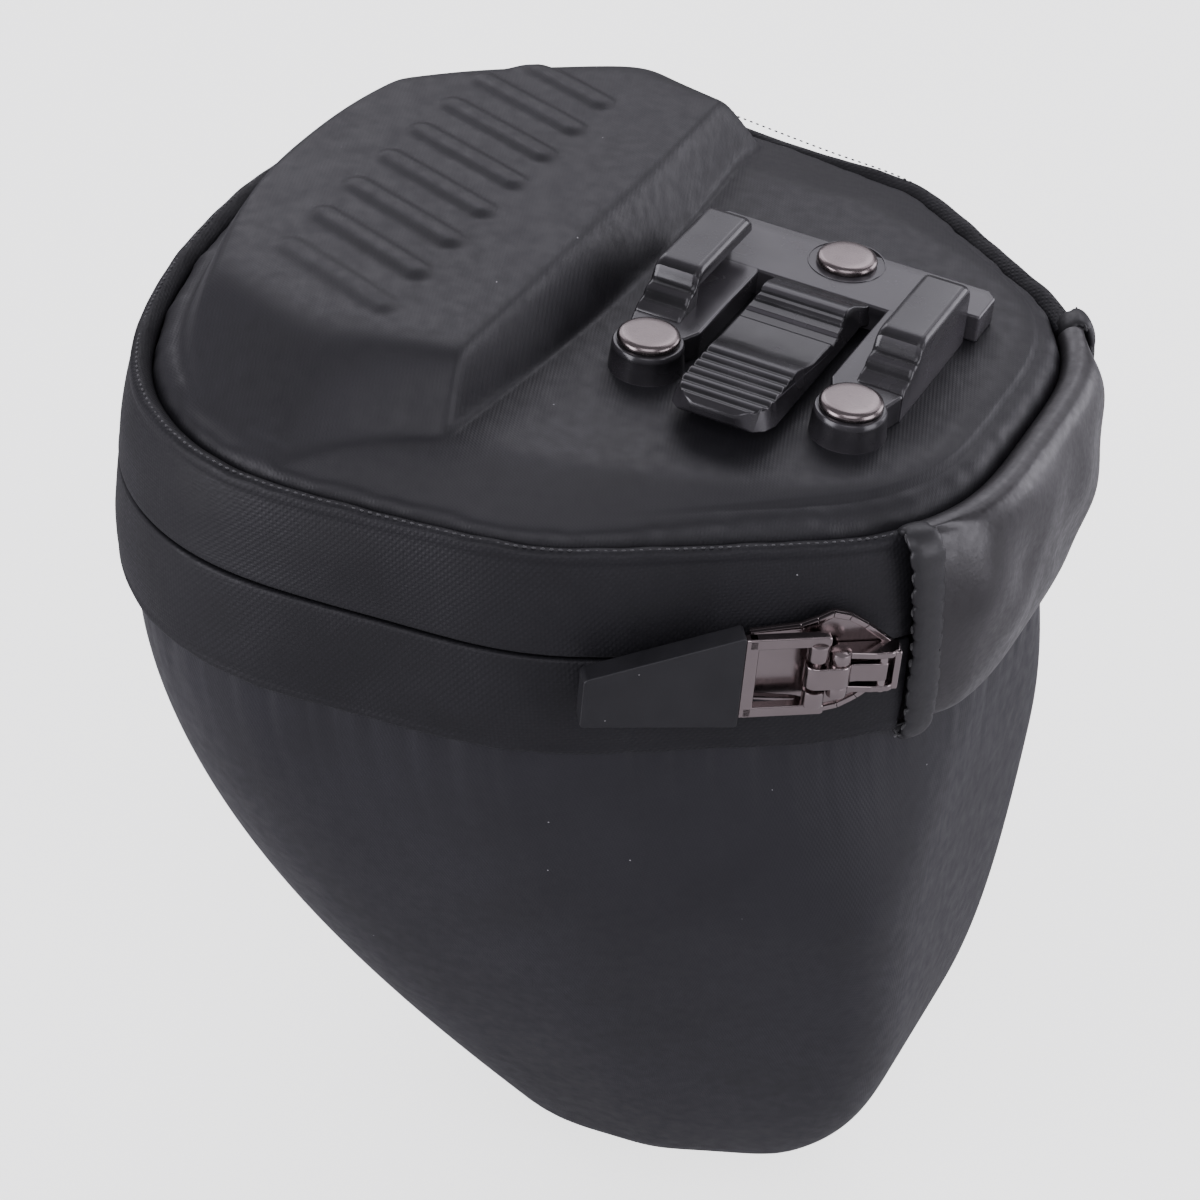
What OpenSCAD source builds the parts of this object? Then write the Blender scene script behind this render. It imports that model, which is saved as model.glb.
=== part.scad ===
// Hard-shell saddle bag: moulded lid and lower shell, zip band, soft hinge panel and a slide-in
// quick-release buckle riveted on the lid. X runs forward to the hinge panel, Y across, Z up.
// The origin is on top of the buckle plate, midway between its two guides.

/* [Rim outline] */
// Centre of the wide arc across the back of the rim, along X
back_x = 24; // [18:0.5:30]
// Centre of each back corner, along X
corner_x = -48; // [-49:0.5:-46]
// Centre of each back corner, across
corner_y = 32.5; // [31:0.5:34]
// Radius of each back corner
corner_r = 31.5; // [30:0.5:33]
// Centre of each side arc, along X
side_x = -23.5; // [-25:0.5:-22]
// Centre of each side arc, across
side_y = 27; // [26:0.5:28]
// Radius of each side arc
side_r = 33.5; // [33:0.5:34]
// Centre of each nose arc, along X
nose_x = 2.5; // [1:0.5:4]
// Centre of each nose arc, across
nose_y = 11; // [10:0.5:12]
// Radius of each nose arc
nose_r = 31.3; // [30.5:0.1:32]

/* [Heights] */
// Top edge of the zip band
band_top_z = -7.6; // [-8:0.1:-7]
// Zip line
zip_z = -23.4; // [-24:0.1:-22]
// Bottom edge of the zip band
band_bottom_z = -39.2; // [-41:0.1:-38]
// Underside of the bag
bottom_z = -150.7; // [-155:0.1:-140]
// Top of the raised block on the lid
block_top_z = 5.1; // [4:0.1:6]

/* [Walls] */
// Thickness of the moulded foam shells
shell_wall = 3; // [2.5:0.1:3.5]
// Thickness of the fabric linings
lining_wall = 0.8; // [0.5:0.1:1]
// Thickness of the zip tape with its coating
tape_wall = 1.6; // [1.2:0.1:1.8]
// Opening left between the two zip tapes
zip_gap = 0.9; // [0.8:0.1:1.2]
// Bulge of the soft hinge panel beyond the rim outline
panel_bulge = 7.5; // [6.5:0.1:8]
// Half angle of the hinge panel about the nose arc
panel_half_angle = 29.5; // [28:0.5:31]
// Width of each edge binding, as an angle about the nose arc
binding_angle = 4.5; // [4:0.1:5]

/* [Lower shell taper] */
// How far the lower shell stands outside the rim outline at its lip
lip_grow = 2.5; // [2:0.1:3]
// Back of the lower shell at the bottom, along X
foot_back_x = -21.9; // [-25:0.1:-18]
// Front of the lower shell at the bottom, along X
foot_front_x = 12.7; // [10:0.1:16]
// Half width of the lower shell at the bottom
foot_half_w = 22; // [18:0.1:26]
// Share of the depth over which the two front corners build up below the band
corner_build_up = 0.34; // [0.1:0.01:0.4]
// Rounding of the bottom edge
foot_round = 10; // [8:0.5:12]

/* [Lid block] */
// Front edge of the block's top, along X
block_front_x = -31.5; // [-33:0.5:-30]
// Foot of the block's front wall, along X
block_foot_x = -26.4; // [-28:0.1:-25]
// Back edge of the block's top, along X
block_back_x = -77; // [-79:0.5:-75]
// Half width of the block's top
block_half_w = 42; // [39:0.5:44]
// Rounding of the block's edges
block_round = 6; // [4:0.5:7]

/* [Buckle] */
// Thickness of the buckle plate and arms
plate_t = 4.25; // [4:0.05:4.5]
// Half length of the cross plate, along X
plate_half_l = 21.7; // [20.5:0.1:23]
// Far edge of the cross plate
plate_far_y = 20.3; // [19.5:0.1:22]
// Rivets of the two arms, distance of each from the middle
arm_rivet_x = 15; // [14.5:0.1:15.5]
// Rivets of the two arms, across
arm_rivet_y = -18; // [-19:0.1:-17]
// Rivet of the cross plate, across
plate_rivet_y = 16; // [15.5:0.1:16.5]
// Inner face of each guide's lip
lip_x = 13.2; // [12.8:0.1:13.6]
// Inner face of each guide's stem
stem_x = 15.9; // [15.5:0.1:16.3]
// Outer face of each guide
guide_outer_x = 20.1; // [18.8:0.1:20.4]
// Height of the guides over the plate
guide_h = 5.5; // [5:0.1:6]
// Half width of the release tongue
tongue_half_w = 7.6; // [7:0.1:8]
// Radius of the rivet shanks
shank_r = 2; // [1.5:0.1:2.2]
// Radius of the rivet caps
cap_r = 4.4; // [3.5:0.1:4.6]

/* [Zip pull] */
// Length of the rubber pull tab
tab_l = 22.7; // [20:0.1:25]
// Height of the pull tab at the frame
tab_h = 14.8; // [13:0.1:16]
// Height of the pull tab at its free end
tab_end_h = 8.6; // [7:0.1:10]
// Half height of the pull frame
frame_half_h = 6.4; // [6:0.1:7]
// Radius of the pull's two pins
pin_r = 0.7; // [0.5:0.05:0.8]

/* [Hidden] */
$fn = 48;
touch = 0.05;                          // gap kept between pieces that lie against each other
running = 0.05;                        // clearance of a pin in its bore
ring_step = 7.5;                       // angle between the points of a closed outline
shell_black = [0.09, 0.09, 0.1];
tape_black = [0.07, 0.07, 0.08];
plastic_black = [0.03, 0.03, 0.035];
back_half_angle = atan2(corner_y, back_x - corner_x);
back_r = norm([back_x - corner_x, corner_y]) + corner_r;
nickel = [0.62, 0.6, 0.58];
grey_fabric = [0.25, 0.25, 0.27];
deck_z = -plate_t;
lip_z = band_bottom_z + 4;             // top lip of the lower shell, inside the band
band_start = panel_half_angle + binding_angle;
seam = 0.15;                           // angle left between pieces around the band
coil_gap = 0.15;                       // gap between the tape and the coil behind it
stop_angle = 315;                      // where the coil ends, before the near binding
backing_t = 1.2;
washer_t = 0.6;

// The slider's place: the front end of the straight stretch between a side arc and a nose arc
arc_gap = [nose_x - side_x, side_y - nose_y];
slant = atan2(arc_gap[1], arc_gap[0]) - acos((side_r - nose_r) / norm(arc_gap)) + 90;
band_out = 4.3;                        // how far the band stands out at the zip line
slider_x = nose_x + (nose_r + band_out) * sin(slant);
slider_y = -nose_y - (nose_r + band_out) * cos(slant);
pin_t = -2.1;                          // pull pin along the zip, from the slider's middle
pin_out = 4.6;                         // pull pin's distance outside the band
link_t = 6.9;                          // link pin along the zip
link_out = 4.4;                        // link pin's distance outside the band
tongue_root_y = 8.5;
tongue_root_z = -2.1;
tongue_root_r = 1.5;

// Point of the rim outline whose outward normal is at angle a, moved out by grow
function rim_arcs() = [[back_x, 0, back_r], [corner_x, corner_y, corner_r],
    [side_x, side_y, side_r], [nose_x, nose_y, nose_r]];
function reach(c, a) = c[0] * cos(a) + c[1] * abs(sin(a)) + c[2];
function furthest(arcs, a) = let (r = [for (c = arcs) reach(c, a)], m = max(r))
    [for (i = [0:len(arcs) - 1]) if (r[i] == m) arcs[i]][0];
function arc_at(arcs, a) = abs(a - 180) < back_half_angle ? arcs[0]
    : furthest([arcs[1], arcs[2], arcs[3]], a);
function on_arcs(arcs, a, grow) = let (c = arc_at(arcs, a), s = sin(a) < 0 ? -1 : 1)
    [c[0] + (c[2] + grow) * cos(a), s * c[1] + (c[2] + grow) * sin(a)];
function rim(a, grow) = on_arcs(rim_arcs(), a, grow);
function at_z(p, z) = [p[0], p[1], z];
function outline(grow) = [for (a = [0:ring_step:359]) rim(a, grow)];

// Cross-section of the lower shell at height z, inset from its outside
function shell_arcs(k) = [[back_x, 0, back_r], [corner_x, corner_y, corner_r],
    [side_x, side_y, side_r], [nose_x + 16 * k, nose_y + 18 * k, nose_r - 17 * k]];
mouth_back = back_x - back_r - lip_grow;
mouth_front = nose_x + nose_r + lip_grow;
mouth_half_w = corner_y + corner_r + lip_grow;
function drop(z) = max(0, (band_bottom_z - z) / (band_bottom_z - bottom_z));
function round_in(z) = let (up = z - bottom_z)
    up >= foot_round ? 0 : foot_round - sqrt(max(0, pow(foot_round, 2) - pow(foot_round - up, 2)));
function mix(a, b, k) = a + (b - a) * k;
function shell_ring(z, inset) = let (t = drop(z), in = round_in(z) + inset,
        back = mix(mouth_back, foot_back_x, pow(t, 1.97)) + in,
        front = mix(mouth_front, foot_front_x, pow(t, 7)) - in,
        half = mix(mouth_half_w, foot_half_w, pow(t, 1.55)) - in,
        kx = (front - back) / (mouth_front - mouth_back), ky = half / mouth_half_w,
        arcs = shell_arcs(min(1, t / corner_build_up)))
    [for (a = [0:ring_step:359]) let (p = on_arcs(arcs, a, lip_grow))
        [back + (p[0] - mouth_back) * kx, p[1] * ky, z]];

// A closed solid through rings that all have the same number of points, listed upwards
module stack(rings) {
    n = len(rings[0]);
    last = len(rings) - 1;
    polyhedron(
        points = [for (r = rings) each r],
        faces = concat(
            [[for (i = [0:n - 1]) i]],
            [[for (i = [n - 1:-1:0]) last * n + i]],
            [for (k = [0:last - 1], i = [0:n - 1]) let (j = (i + 1) % n)
                each [[k * n + i, (k + 1) * n + i, (k + 1) * n + j],
                      [k * n + i, (k + 1) * n + j, k * n + j]]]));
}

// A strip swept round the rim from angle a0 to a1. Its section is a list of [grow, z] that
// starts at the inner top corner and goes round by the outside.
module rim_strip(section, a0, a1, step = 6) {
    steps = ceil((a1 - a0) / step);
    n = len(section);
    polyhedron(
        points = [for (k = [0:steps], s = section) at_z(rim(mix(a0, a1, k / steps), s[0]), s[1])],
        faces = concat(
            [[for (i = [0:n - 1]) i]],
            [[for (i = [n - 1:-1:0]) steps * n + i]],
            [for (k = [0:steps - 1], i = [0:n - 1]) let (j = (i + 1) % n)
                each [[k * n + i, (k + 1) * n + i, (k + 1) * n + j],
                      [k * n + i, (k + 1) * n + j, k * n + j]]]));
}

// The lid's outer form, or the same form set in by a wall
module lid_form(inset) {
    profile = [[-0.1, -12.5], [-0.1, -9], [-1.2, -7.4], [-3, -6], [-6, -4.9], [-10.5, deck_z]];
    stack([for (r = profile) [for (p = outline(r[0] - inset)) at_z(p, r[1] - inset)]]);
    block_form(inset);
}

// The raised block across the back of the lid
module block_form(inset) {
    edge = block_round;
    top = [[block_front_x - edge, block_half_w - edge],
           [block_front_x - 20, block_half_w + 4 - edge],
           [block_back_x + edge + 7, block_half_w - 3 - edge],
           [block_back_x + edge + 1, 20], [block_back_x + edge, 0]];
    foot = [[block_foot_x, 44], [block_foot_x - 4, 50]];
    hull() {
        for (p = top, s = [-1, 1])
            translate([p[0], s * p[1], block_top_z - edge])
                sphere(r = edge - inset, $fn = 16);
        for (p = foot, s = [-1, 1])
            translate([p[0] - inset, s * (p[1] - inset), deck_z - inset - 1])
                cylinder(h = 1, r = 0.5, $fn = 8);
        translate([0, 0, -9.5 - inset])
            linear_extrude(0.5)
                polygon([for (a = [97.5:ring_step:262.5]) rim(a, -1.2 - inset)]);
    }
}

module at_rivets() {
    for (p = [[-arm_rivet_x, arm_rivet_y], [arm_rivet_x, arm_rivet_y], [0, plate_rivet_y]])
        translate([p[0], p[1], 0])
            children();
}

module rivet_bores() {
    at_rivets()
        translate([0, 0, -30])
            cylinder(h = 40, r = shank_r);
}

module lid_shell() {
    color(shell_black)
        difference() {
            lid_form(0);
            lid_form(shell_wall);
            rivet_bores();
        }
}

module lid_lining() {
    color(grey_fabric)
        difference() {
            lid_form(shell_wall + touch);
            lid_form(shell_wall + touch + lining_wall);
            translate([-150, -150, -32.5])
                cube([300, 300, 20]);
            rivet_bores();
        }
}

module upper_zip_tape() {
    top = band_top_z;
    low = zip_z + zip_gap / 2;
    color(tape_black)
        rim_strip([[0, top], [2.2, top], [3, top - 2], [4, top - 7.4], [band_out, low],
            [band_out - tape_wall, low], [2.4, top - 7.4], [0, top - 4]],
            band_start + seam, 360 - band_start - seam);
}

module lower_zip_tape() {
    top = zip_z - zip_gap / 2;
    low = band_bottom_z;
    color(tape_black)
        rim_strip([[band_out - tape_wall, top], [band_out, top], [4.9, top - 7], [4.7, low],
            [lip_grow + 0.1, low], [lip_grow + 0.6, top - 7]],
            band_start + seam, 360 - band_start - seam);
}

// One half of the zip coil, behind the edge of its tape
module zip_coil(top) {
    out = band_out - tape_wall - coil_gap;
    color(plastic_black)
        rim_strip([[out - 1.4, top], [out, top], [out, top - 1.7], [out - 1.4, top - 1.7]],
            band_start + 6, stop_angle - seam);
}

module upper_zip_coil() {
    zip_coil(zip_z + zip_gap / 2 + 1.7);
}

module lower_zip_coil() {
    zip_coil(zip_z - zip_gap / 2);
}

// The stop that ends one half of the coil beside the near binding
module zip_stop(top) {
    out = band_out - tape_wall - coil_gap;
    color(nickel)
        rim_strip([[out - 1.8, top], [out, top], [out, top - 2.4], [out - 1.8, top - 2.4]],
            stop_angle, stop_angle + 3, 3);
}

module upper_zip_stop() {
    zip_stop(zip_z + zip_gap / 2 + 2.4);
}

module lower_zip_stop() {
    zip_stop(zip_z - zip_gap / 2);
}

module hinge_panel_upper() {
    low = zip_z + zip_gap / 2;
    out = panel_bulge;
    color(shell_black)
        rim_strip([[0, -7.4], [4.4, -7.4], [6.2, -12], [out, -18.5], [out, low],
            [out - 2, low], [out - 2, -18.5], [4, -13], [0, -11.5]],
            -panel_half_angle + seam, panel_half_angle - seam);
}

module hinge_panel_lower() {
    top = zip_z - zip_gap / 2;
    out = panel_bulge;
    low = band_bottom_z - 0.2;
    color(shell_black)
        rim_strip([[out - 2, top], [out, top], [out - 0.6, -31], [out - 2.2, low],
            [lip_grow + 0.1, low], [lip_grow + 0.3, -36], [out - 2.6, -31]],
            -panel_half_angle + seam, panel_half_angle - seam);
}

// A binding's section turned about the near or far nose arc from angle a0
module binding(side, a0) {
    color(shell_black)
        translate([nose_x, side * nose_y, 0])
            rotate([0, 0, a0])
                rotate_extrude(angle = binding_angle)
                    translate([nose_r, 0])
                        children();
}

module binding_upper(side, a0) {
    low = zip_z + zip_gap / 2;
    binding(side, a0)
        polygon([[0, -7.3], [4, -7.3], [5, -9.5], [5.7, -16], [5.9, low],
            [2.3, low], [2.4, -15], [0, -11.5]]);
}

module binding_lower(side, a0) {
    top = zip_z - zip_gap / 2;
    low = band_bottom_z - 0.4;
    binding(side, a0)
        polygon([[2.6, top], [5.9, top], [6.2, -31], [5.7, low], [lip_grow + 0.4, low],
            [lip_grow + 0.4, -36]]);
}

module near_binding_upper() {
    binding_upper(-1, -band_start);
}

module far_binding_upper() {
    binding_upper(1, panel_half_angle);
}

module near_binding_lower() {
    binding_lower(-1, -band_start);
}

module far_binding_lower() {
    binding_lower(1, panel_half_angle);
}

// Heights of the lower shell's rings between a floor and its lip
function shell_heights(floor_z, lip) = concat(
    [for (k = [0, 0.06, 0.2, 0.4, 0.7]) floor_z + k * foot_round],
    [for (k = [0:11]) mix(floor_z + foot_round, band_bottom_z, k / 11)], [lip]);

module shell_solid(inset, lip) {
    stack([for (z = shell_heights(bottom_z + inset, lip)) shell_ring(z, inset)]);
}

module lower_shell() {
    color(shell_black)
        difference() {
            shell_solid(0, lip_z);
            shell_solid(shell_wall, lip_z + 1);
        }
}

module lower_lining() {
    color(grey_fabric)
        difference() {
            shell_solid(shell_wall + touch, lip_z);
            shell_solid(shell_wall + touch + lining_wall, lip_z + 1);
        }
}

// Stiffening plate that the rivets clamp against the lid's lining
module backing_plate() {
    plate_top = deck_z - shell_wall - lining_wall - 2 * touch;
    color(nickel)
        difference() {
            translate([-19, -22.5, plate_top - backing_t])
                cube([38, 42.5, backing_t]);
            rivet_bores();
        }
}

// One guide: an L standing on its arm, with its lip turned over the slot
module guide() {
    len_y = 21;
    translate([0, 11.5, 0])
        rotate([90, 0, 0])
            linear_extrude(len_y)
                polygon([[stem_x, -1], [guide_outer_x, -1], [guide_outer_x, guide_h - 1],
                    [guide_outer_x - 1, guide_h], [lip_x + 1, guide_h], [lip_x, guide_h - 1],
                    [lip_x, 2.9], [stem_x, 2.9]]);
}

module buckle_base() {
    root_half_w = tongue_half_w + 0.3;
    color(plastic_black)
        difference() {
            union() {
                translate([0, 0, -plate_t])
                    linear_extrude(plate_t)
                        polygon([[-plate_half_l, 7], [plate_half_l, 7],
                            [plate_half_l, plate_far_y - 1.5], [plate_half_l - 1.5, plate_far_y],
                            [-plate_half_l + 1.5, plate_far_y], [-plate_half_l, plate_far_y - 1.5]]);
                for (s = [0, 1])
                    mirror([s, 0, 0]) {
                        translate([9.7, arm_rivet_y, -plate_t])
                            cube([guide_outer_x - 9.7, 8 - arm_rivet_y, plate_t]);
                        translate([arm_rivet_x, arm_rivet_y, -plate_t])
                            cylinder(h = plate_t, r = 5.3);
                        guide();
                        translate([lip_x, -9.4, -1])
                            cube([guide_outer_x - lip_x, 2.2, 4.2]);
                    }
            }
            rivet_bores();
            translate([-root_half_w, 0, -10])
                cube([2 * root_half_w, tongue_root_y, 20]);
            translate([-root_half_w, tongue_root_y, tongue_root_z])
                rotate([0, 90, 0])
                    cylinder(h = 2 * root_half_w, r = tongue_root_r + running);
            // near ends of the guides step down to the arms
            for (cut = [[-10, 3.2, 2.2], [-8, 4.4, 2]])
                translate([-30, cut[0], cut[1]])
                    cube([60, cut[2], 10]);
        }
}

// Cantilevered tongue: ramp, stepped catch, flat neck and grooved thumb pad
module release_tongue() {
    pad = [for (k = [0:5]) each [[-16 - 2.1 * k, 1.7], [-16.6 - 2.1 * k, 1.2],
        [-17.3 - 2.1 * k, 1.2], [-17.9 - 2.1 * k, 1.7]]];
    side = concat([[tongue_root_y, tongue_root_z + tongue_root_r], [6.5, -0.5], [1.2, 2],
        [-0.2, 2], [-0.2, 1.4], [-1.4, 1.4], [-1.4, 0.8], [-12.5, 0.5], [-14.5, 1.5]], pad,
        [[-29.4, 1.3], [-30, 0.4], [-29.6, -0.9], [-28.5, -1.9], [4, -1.9],
         [6.5, -3.3], [tongue_root_y, tongue_root_z - tongue_root_r]]);
    color(plastic_black)
        intersection() {
            union() {
                translate([-tongue_half_w, 0, 0])
                    rotate([90, 0, 90])
                        linear_extrude(2 * tongue_half_w)
                            polygon(side);
                translate([-tongue_half_w, tongue_root_y, tongue_root_z])
                    rotate([0, 90, 0])
                        cylinder(h = 2 * tongue_half_w, r = tongue_root_r);
            }
            translate([0, 0, -10])
                linear_extrude(20)
                    polygon([[-tongue_half_w, 20], [-tongue_half_w, -26], [-4.6, -29.6],
                        [-3, -30], [3, -30], [4.6, -29.6], [tongue_half_w, -26],
                        [tongue_half_w, 20]]);
        }
}

// Rivet with a flat cap, a shank through the lid and a set tail under its washer
module rivet(x, y) {
    tail_z = deck_z - shell_wall - lining_wall - 3 * touch - backing_t - washer_t - touch;
    color(nickel)
        translate([x, y, 0])
            rotate_extrude()
                polygon([[0, 1.3], [cap_r - 0.9, 1.3], [cap_r, 0.8], [cap_r, 0], [shank_r, 0],
                    [shank_r, tail_z], [2.8, tail_z], [2.6, tail_z - 0.8], [0, tail_z - 0.8]]);
}

module back_arm_rivet() {
    rivet(-arm_rivet_x, arm_rivet_y);
}

module front_arm_rivet() {
    rivet(arm_rivet_x, arm_rivet_y);
}

module plate_rivet() {
    rivet(0, plate_rivet_y);
}

module rivet_washers() {
    top = deck_z - shell_wall - lining_wall - 3 * touch - backing_t;
    color(nickel)
        at_rivets()
            translate([0, 0, top - washer_t])
                difference() {
                    cylinder(h = washer_t, r = 3.4);
                    translate([0, 0, -1])
                        cylinder(h = 3, r = shank_r);
                }
}

// Places its children on the zip line: X along the zip towards the hinge panel, -Y outward
module at_slider() {
    translate([slider_x, slider_y, zip_z])
        rotate([0, 0, slant])
            children();
}

// Plate parallel to the band, from out to out + t outside it, with its outline in [along, up]
module band_plate(out, t) {
    rotate([90, 0, 0])
        translate([0, 0, out])
            linear_extrude(t)
                children();
}

// Upright round bar beside the band
module upright(along, out, r, z0, z1) {
    translate([along, -out, z0])
        cylinder(h = z1 - z0, r = r);
}

module box_along(x0, x1, out0, out1, z0, z1) {
    translate([x0, -out1, z0])
        cube([x1 - x0, out1 - out0, z1 - z0]);
}

module slider_body() {
    color(nickel)
        at_slider() {
            band_plate(1.2, 1.4)
                polygon([[-10.9, -5.6], [-10.9, 5.6], [-4, 6.4], [0, 8.2], [4.5, 5.9], [9.2, 2.4],
                    [9.2, -2.4], [4.5, -5.9], [0, -8.2], [-4, -6.4]]);
            band_plate(-4.6, 1)
                polygon([[-7, -3.2], [-7, 3.2], [0, 4], [4, 2.5], [4, -2.5], [0, -4]]);
            box_along(2, 4, -3.7, 1.3, -0.25, 0.25);
        }
}

module slider_bridge() {
    color(nickel)
        at_slider()
            difference() {
                union() {
                    for (s = [-1, 1])
                        box_along(0.8, 9.2, 2.6 + touch, 5.2, s * 2.75 - 0.55, s * 2.75 + 0.55);
                    box_along(8.4, 9.2, 2.6 + touch, 5.2, -2.3, 2.3);
                }
                upright(link_t, link_out, pin_r, -10, 10);
            }
}

module slider_lock_pawl() {
    color(nickel)
        at_slider()
            box_along(-0.5, 5.2, 2.6 + touch, 3, -1, 1);
}

module link_pin() {
    color(nickel)
        at_slider()
            upright(link_t, link_out, pin_r, -3.3, 3.3);
}

module pull_link() {
    color(nickel)
        at_slider()
            difference() {
                union() {
                    upright(link_t, link_out, 1.25, -1.5, 1.5);
                    box_along(pin_t, link_t, 3.95, 4.95, -1.5, 1.5);
                    upright(pin_t, pin_out, 1.5, -2.2, 2.2);
                }
                upright(link_t, link_out, pin_r + running, -10, 10);
                upright(pin_t, pin_out, pin_r, -10, 10);
            }
}

module pull_pin() {
    color(nickel)
        at_slider()
            upright(pin_t, pin_out, pin_r, -5, 5);
}

module pull_frame() {
    color(nickel)
        at_slider()
            difference() {
                union() {
                    box_along(-12.1, -10.2, 3.8, 5.4, -frame_half_h, frame_half_h);
                    for (s = [-1, 1]) {
                        box_along(-11, pin_t, 3.8, 5.4, s * (frame_half_h - 0.85) - 0.85,
                            s * (frame_half_h - 0.85) + 0.85);
                        upright(pin_t, pin_out, 1.5, s > 0 ? 2.35 : -frame_half_h,
                            s > 0 ? frame_half_h : -2.35);
                    }
                    box_along(-21, -12, 4.1, 5.1, -3, 3);
                }
                upright(pin_t, pin_out, pin_r + running, -5.1, 5.1);
            }
}

module pull_tab() {
    root = -12.1 - touch;
    end = root - tab_l;
    low = -tab_h / 2;
    color(plastic_black)
        at_slider()
            difference() {
                band_plate(3, 3.2)
                    polygon([[end, low + 1], [end, low + tab_end_h - 1], [end + 1, low + tab_end_h],
                        [root, -low], [root, low], [end + 1, low]]);
                box_along(-21 - touch, 0, 4.1 - touch, 5.1 + touch, -3 - touch, 3 + touch);
            }
}

lid_shell();
lid_lining();
upper_zip_tape();
upper_zip_coil();
upper_zip_stop();
hinge_panel_upper();
near_binding_upper();
far_binding_upper();
backing_plate();
buckle_base();
back_arm_rivet();
front_arm_rivet();
plate_rivet();
rivet_washers();
release_tongue();
lower_shell();
lower_lining();
lower_zip_tape();
lower_zip_coil();
lower_zip_stop();
hinge_panel_lower();
near_binding_lower();
far_binding_lower();
slider_body();
slider_bridge();
slider_lock_pawl();
link_pin();
pull_link();
pull_pin();
pull_frame();
pull_tab();
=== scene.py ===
"""The looks of the hard-shell saddle bag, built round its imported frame. Tables are in millimetres."""

import math
import bpy
import bmesh
import numpy as np
from mathutils import Matrix, Vector


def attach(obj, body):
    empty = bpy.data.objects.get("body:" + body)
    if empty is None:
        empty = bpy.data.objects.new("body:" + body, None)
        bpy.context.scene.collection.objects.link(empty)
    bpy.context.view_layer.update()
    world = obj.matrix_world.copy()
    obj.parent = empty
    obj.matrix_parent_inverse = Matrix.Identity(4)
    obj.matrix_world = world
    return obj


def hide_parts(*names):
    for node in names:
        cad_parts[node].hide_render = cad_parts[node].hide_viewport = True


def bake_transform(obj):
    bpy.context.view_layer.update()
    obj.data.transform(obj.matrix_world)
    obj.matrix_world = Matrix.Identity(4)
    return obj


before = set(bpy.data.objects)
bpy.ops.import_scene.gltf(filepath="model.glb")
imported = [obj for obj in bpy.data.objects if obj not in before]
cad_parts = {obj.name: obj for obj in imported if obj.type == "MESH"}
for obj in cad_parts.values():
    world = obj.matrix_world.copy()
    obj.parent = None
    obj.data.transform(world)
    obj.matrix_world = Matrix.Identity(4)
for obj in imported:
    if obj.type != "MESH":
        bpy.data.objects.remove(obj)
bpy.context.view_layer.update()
MM = 0.001

# The rim's arcs as (along, across, radius), and the heights that the zip band and the shells share
BACK_X = 24.0
CORNER = (-48.0, 32.5, 31.5)
SIDE = (-23.5, 27.0, 33.5)
NOSE = (2.5, 11.0, 31.3)
BACK_R = math.hypot(BACK_X - CORNER[0], CORNER[1]) + CORNER[2]
DECK_Z, ZIP_Z, BAND_BOTTOM_Z, BAG_BOTTOM_Z = -4.25, -23.4, -39.2, -150.7
LID_MIDDLE = np.array([-18.0, 0.0])


# ---------------------------------------------------------------- camera, light and floor

CAMERA_TURN = 23.34
SOFT_BOXES = (("low_left", -60, 12, 0.55, 6.4), ("low_right", 62, 12, 0.55, 3.8),
              ("low_far_right", 118, 14, 0.5, 2.6),
              ("high_near", 0, 45, 0.6, 2.6), ("high_far", 180, 42, 0.5, 1.15),
              ("high_far_right", 150, 45, 0.5, 1.2),
              ("high_far_left", -150, 35, 0.5, 1.4))
BOX_DISTANCE = 0.9
AIR_TINT = (1.0, 0.972, 1.07)
AIR_LIGHT, AIR_SEEN = 0.34, 1.9
FLOOR_GAP = 9.0  # the bag hangs from its bracket, so its floor leaves room for the open shell


def placed(name, data):
    """A new object at the origin, in the scene."""
    made = bpy.data.objects.new(name, data)
    bpy.context.scene.collection.objects.link(made)
    return made


def set_camera():
    """A long lens looking down on the near corner, turned and rolled a little."""
    turn, tilt, roll = (math.radians(a) for a in (CAMERA_TURN, 36.87, 5.16))
    back = Vector((math.sin(turn) * math.cos(tilt), -math.cos(turn) * math.cos(tilt), math.sin(tilt)))
    level = Vector((math.cos(turn), math.sin(turn), 0))
    upward = back.cross(level)
    right = level * math.cos(roll) + upward * math.sin(roll)
    up = upward * math.cos(roll) - level * math.sin(roll)
    place = Vector((1.53, -64.9, -7.65)) * MM + back * 0.4
    lens = bpy.data.cameras.new("bag_camera")
    lens.sensor_width, lens.lens, lens.clip_start = 36, 96, 0.01
    camera = placed("bag_camera", lens)
    camera.matrix_world = Matrix.Translation(place) @ Matrix((right, up, back)).transposed().to_4x4()
    bpy.context.scene.camera = camera


def soft_light(name, place, aim, size, power):
    lamp = bpy.data.lights.new(name, "AREA")
    lamp.shape = "RECTANGLE"
    lamp.size = lamp.size_y = size
    lamp.energy = power
    lamp.color = AIR_TINT
    holder = placed(name, lamp)
    holder.location = place
    holder.rotation_euler = (aim - place).to_track_quat("-Z", "Y").to_euler()


def light_studio():
    """Soft boxes low on both sides, high ones behind, and pale air. A box is placed by its bearing from the
    camera's side and its height, in degrees."""
    world = bpy.data.worlds.new("studio_air")
    world.use_nodes = True
    w = Wiring(world.node_tree)
    air = world.node_tree.nodes["Background"]
    air.inputs["Color"].default_value = AIR_TINT + (1,)
    seen = w.node("ShaderNodeLightPath").outputs["Is Camera Ray"]
    w.feed(air.inputs["Strength"], w.ramp(seen, 0, 1, AIR_LIGHT, AIR_SEEN))
    bpy.context.scene.world = world
    middle = Vector((-0.02, 0, -0.06))
    for name, bearing, height, size, power in SOFT_BOXES:
        a, e = math.radians(CAMERA_TURN - 90 + bearing), math.radians(height)
        place = middle + BOX_DISTANCE * Vector((math.cos(a) * math.cos(e), math.sin(a) * math.cos(e),
                                                math.sin(e)))
        soft_light(name, place, middle, size, power)


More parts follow.
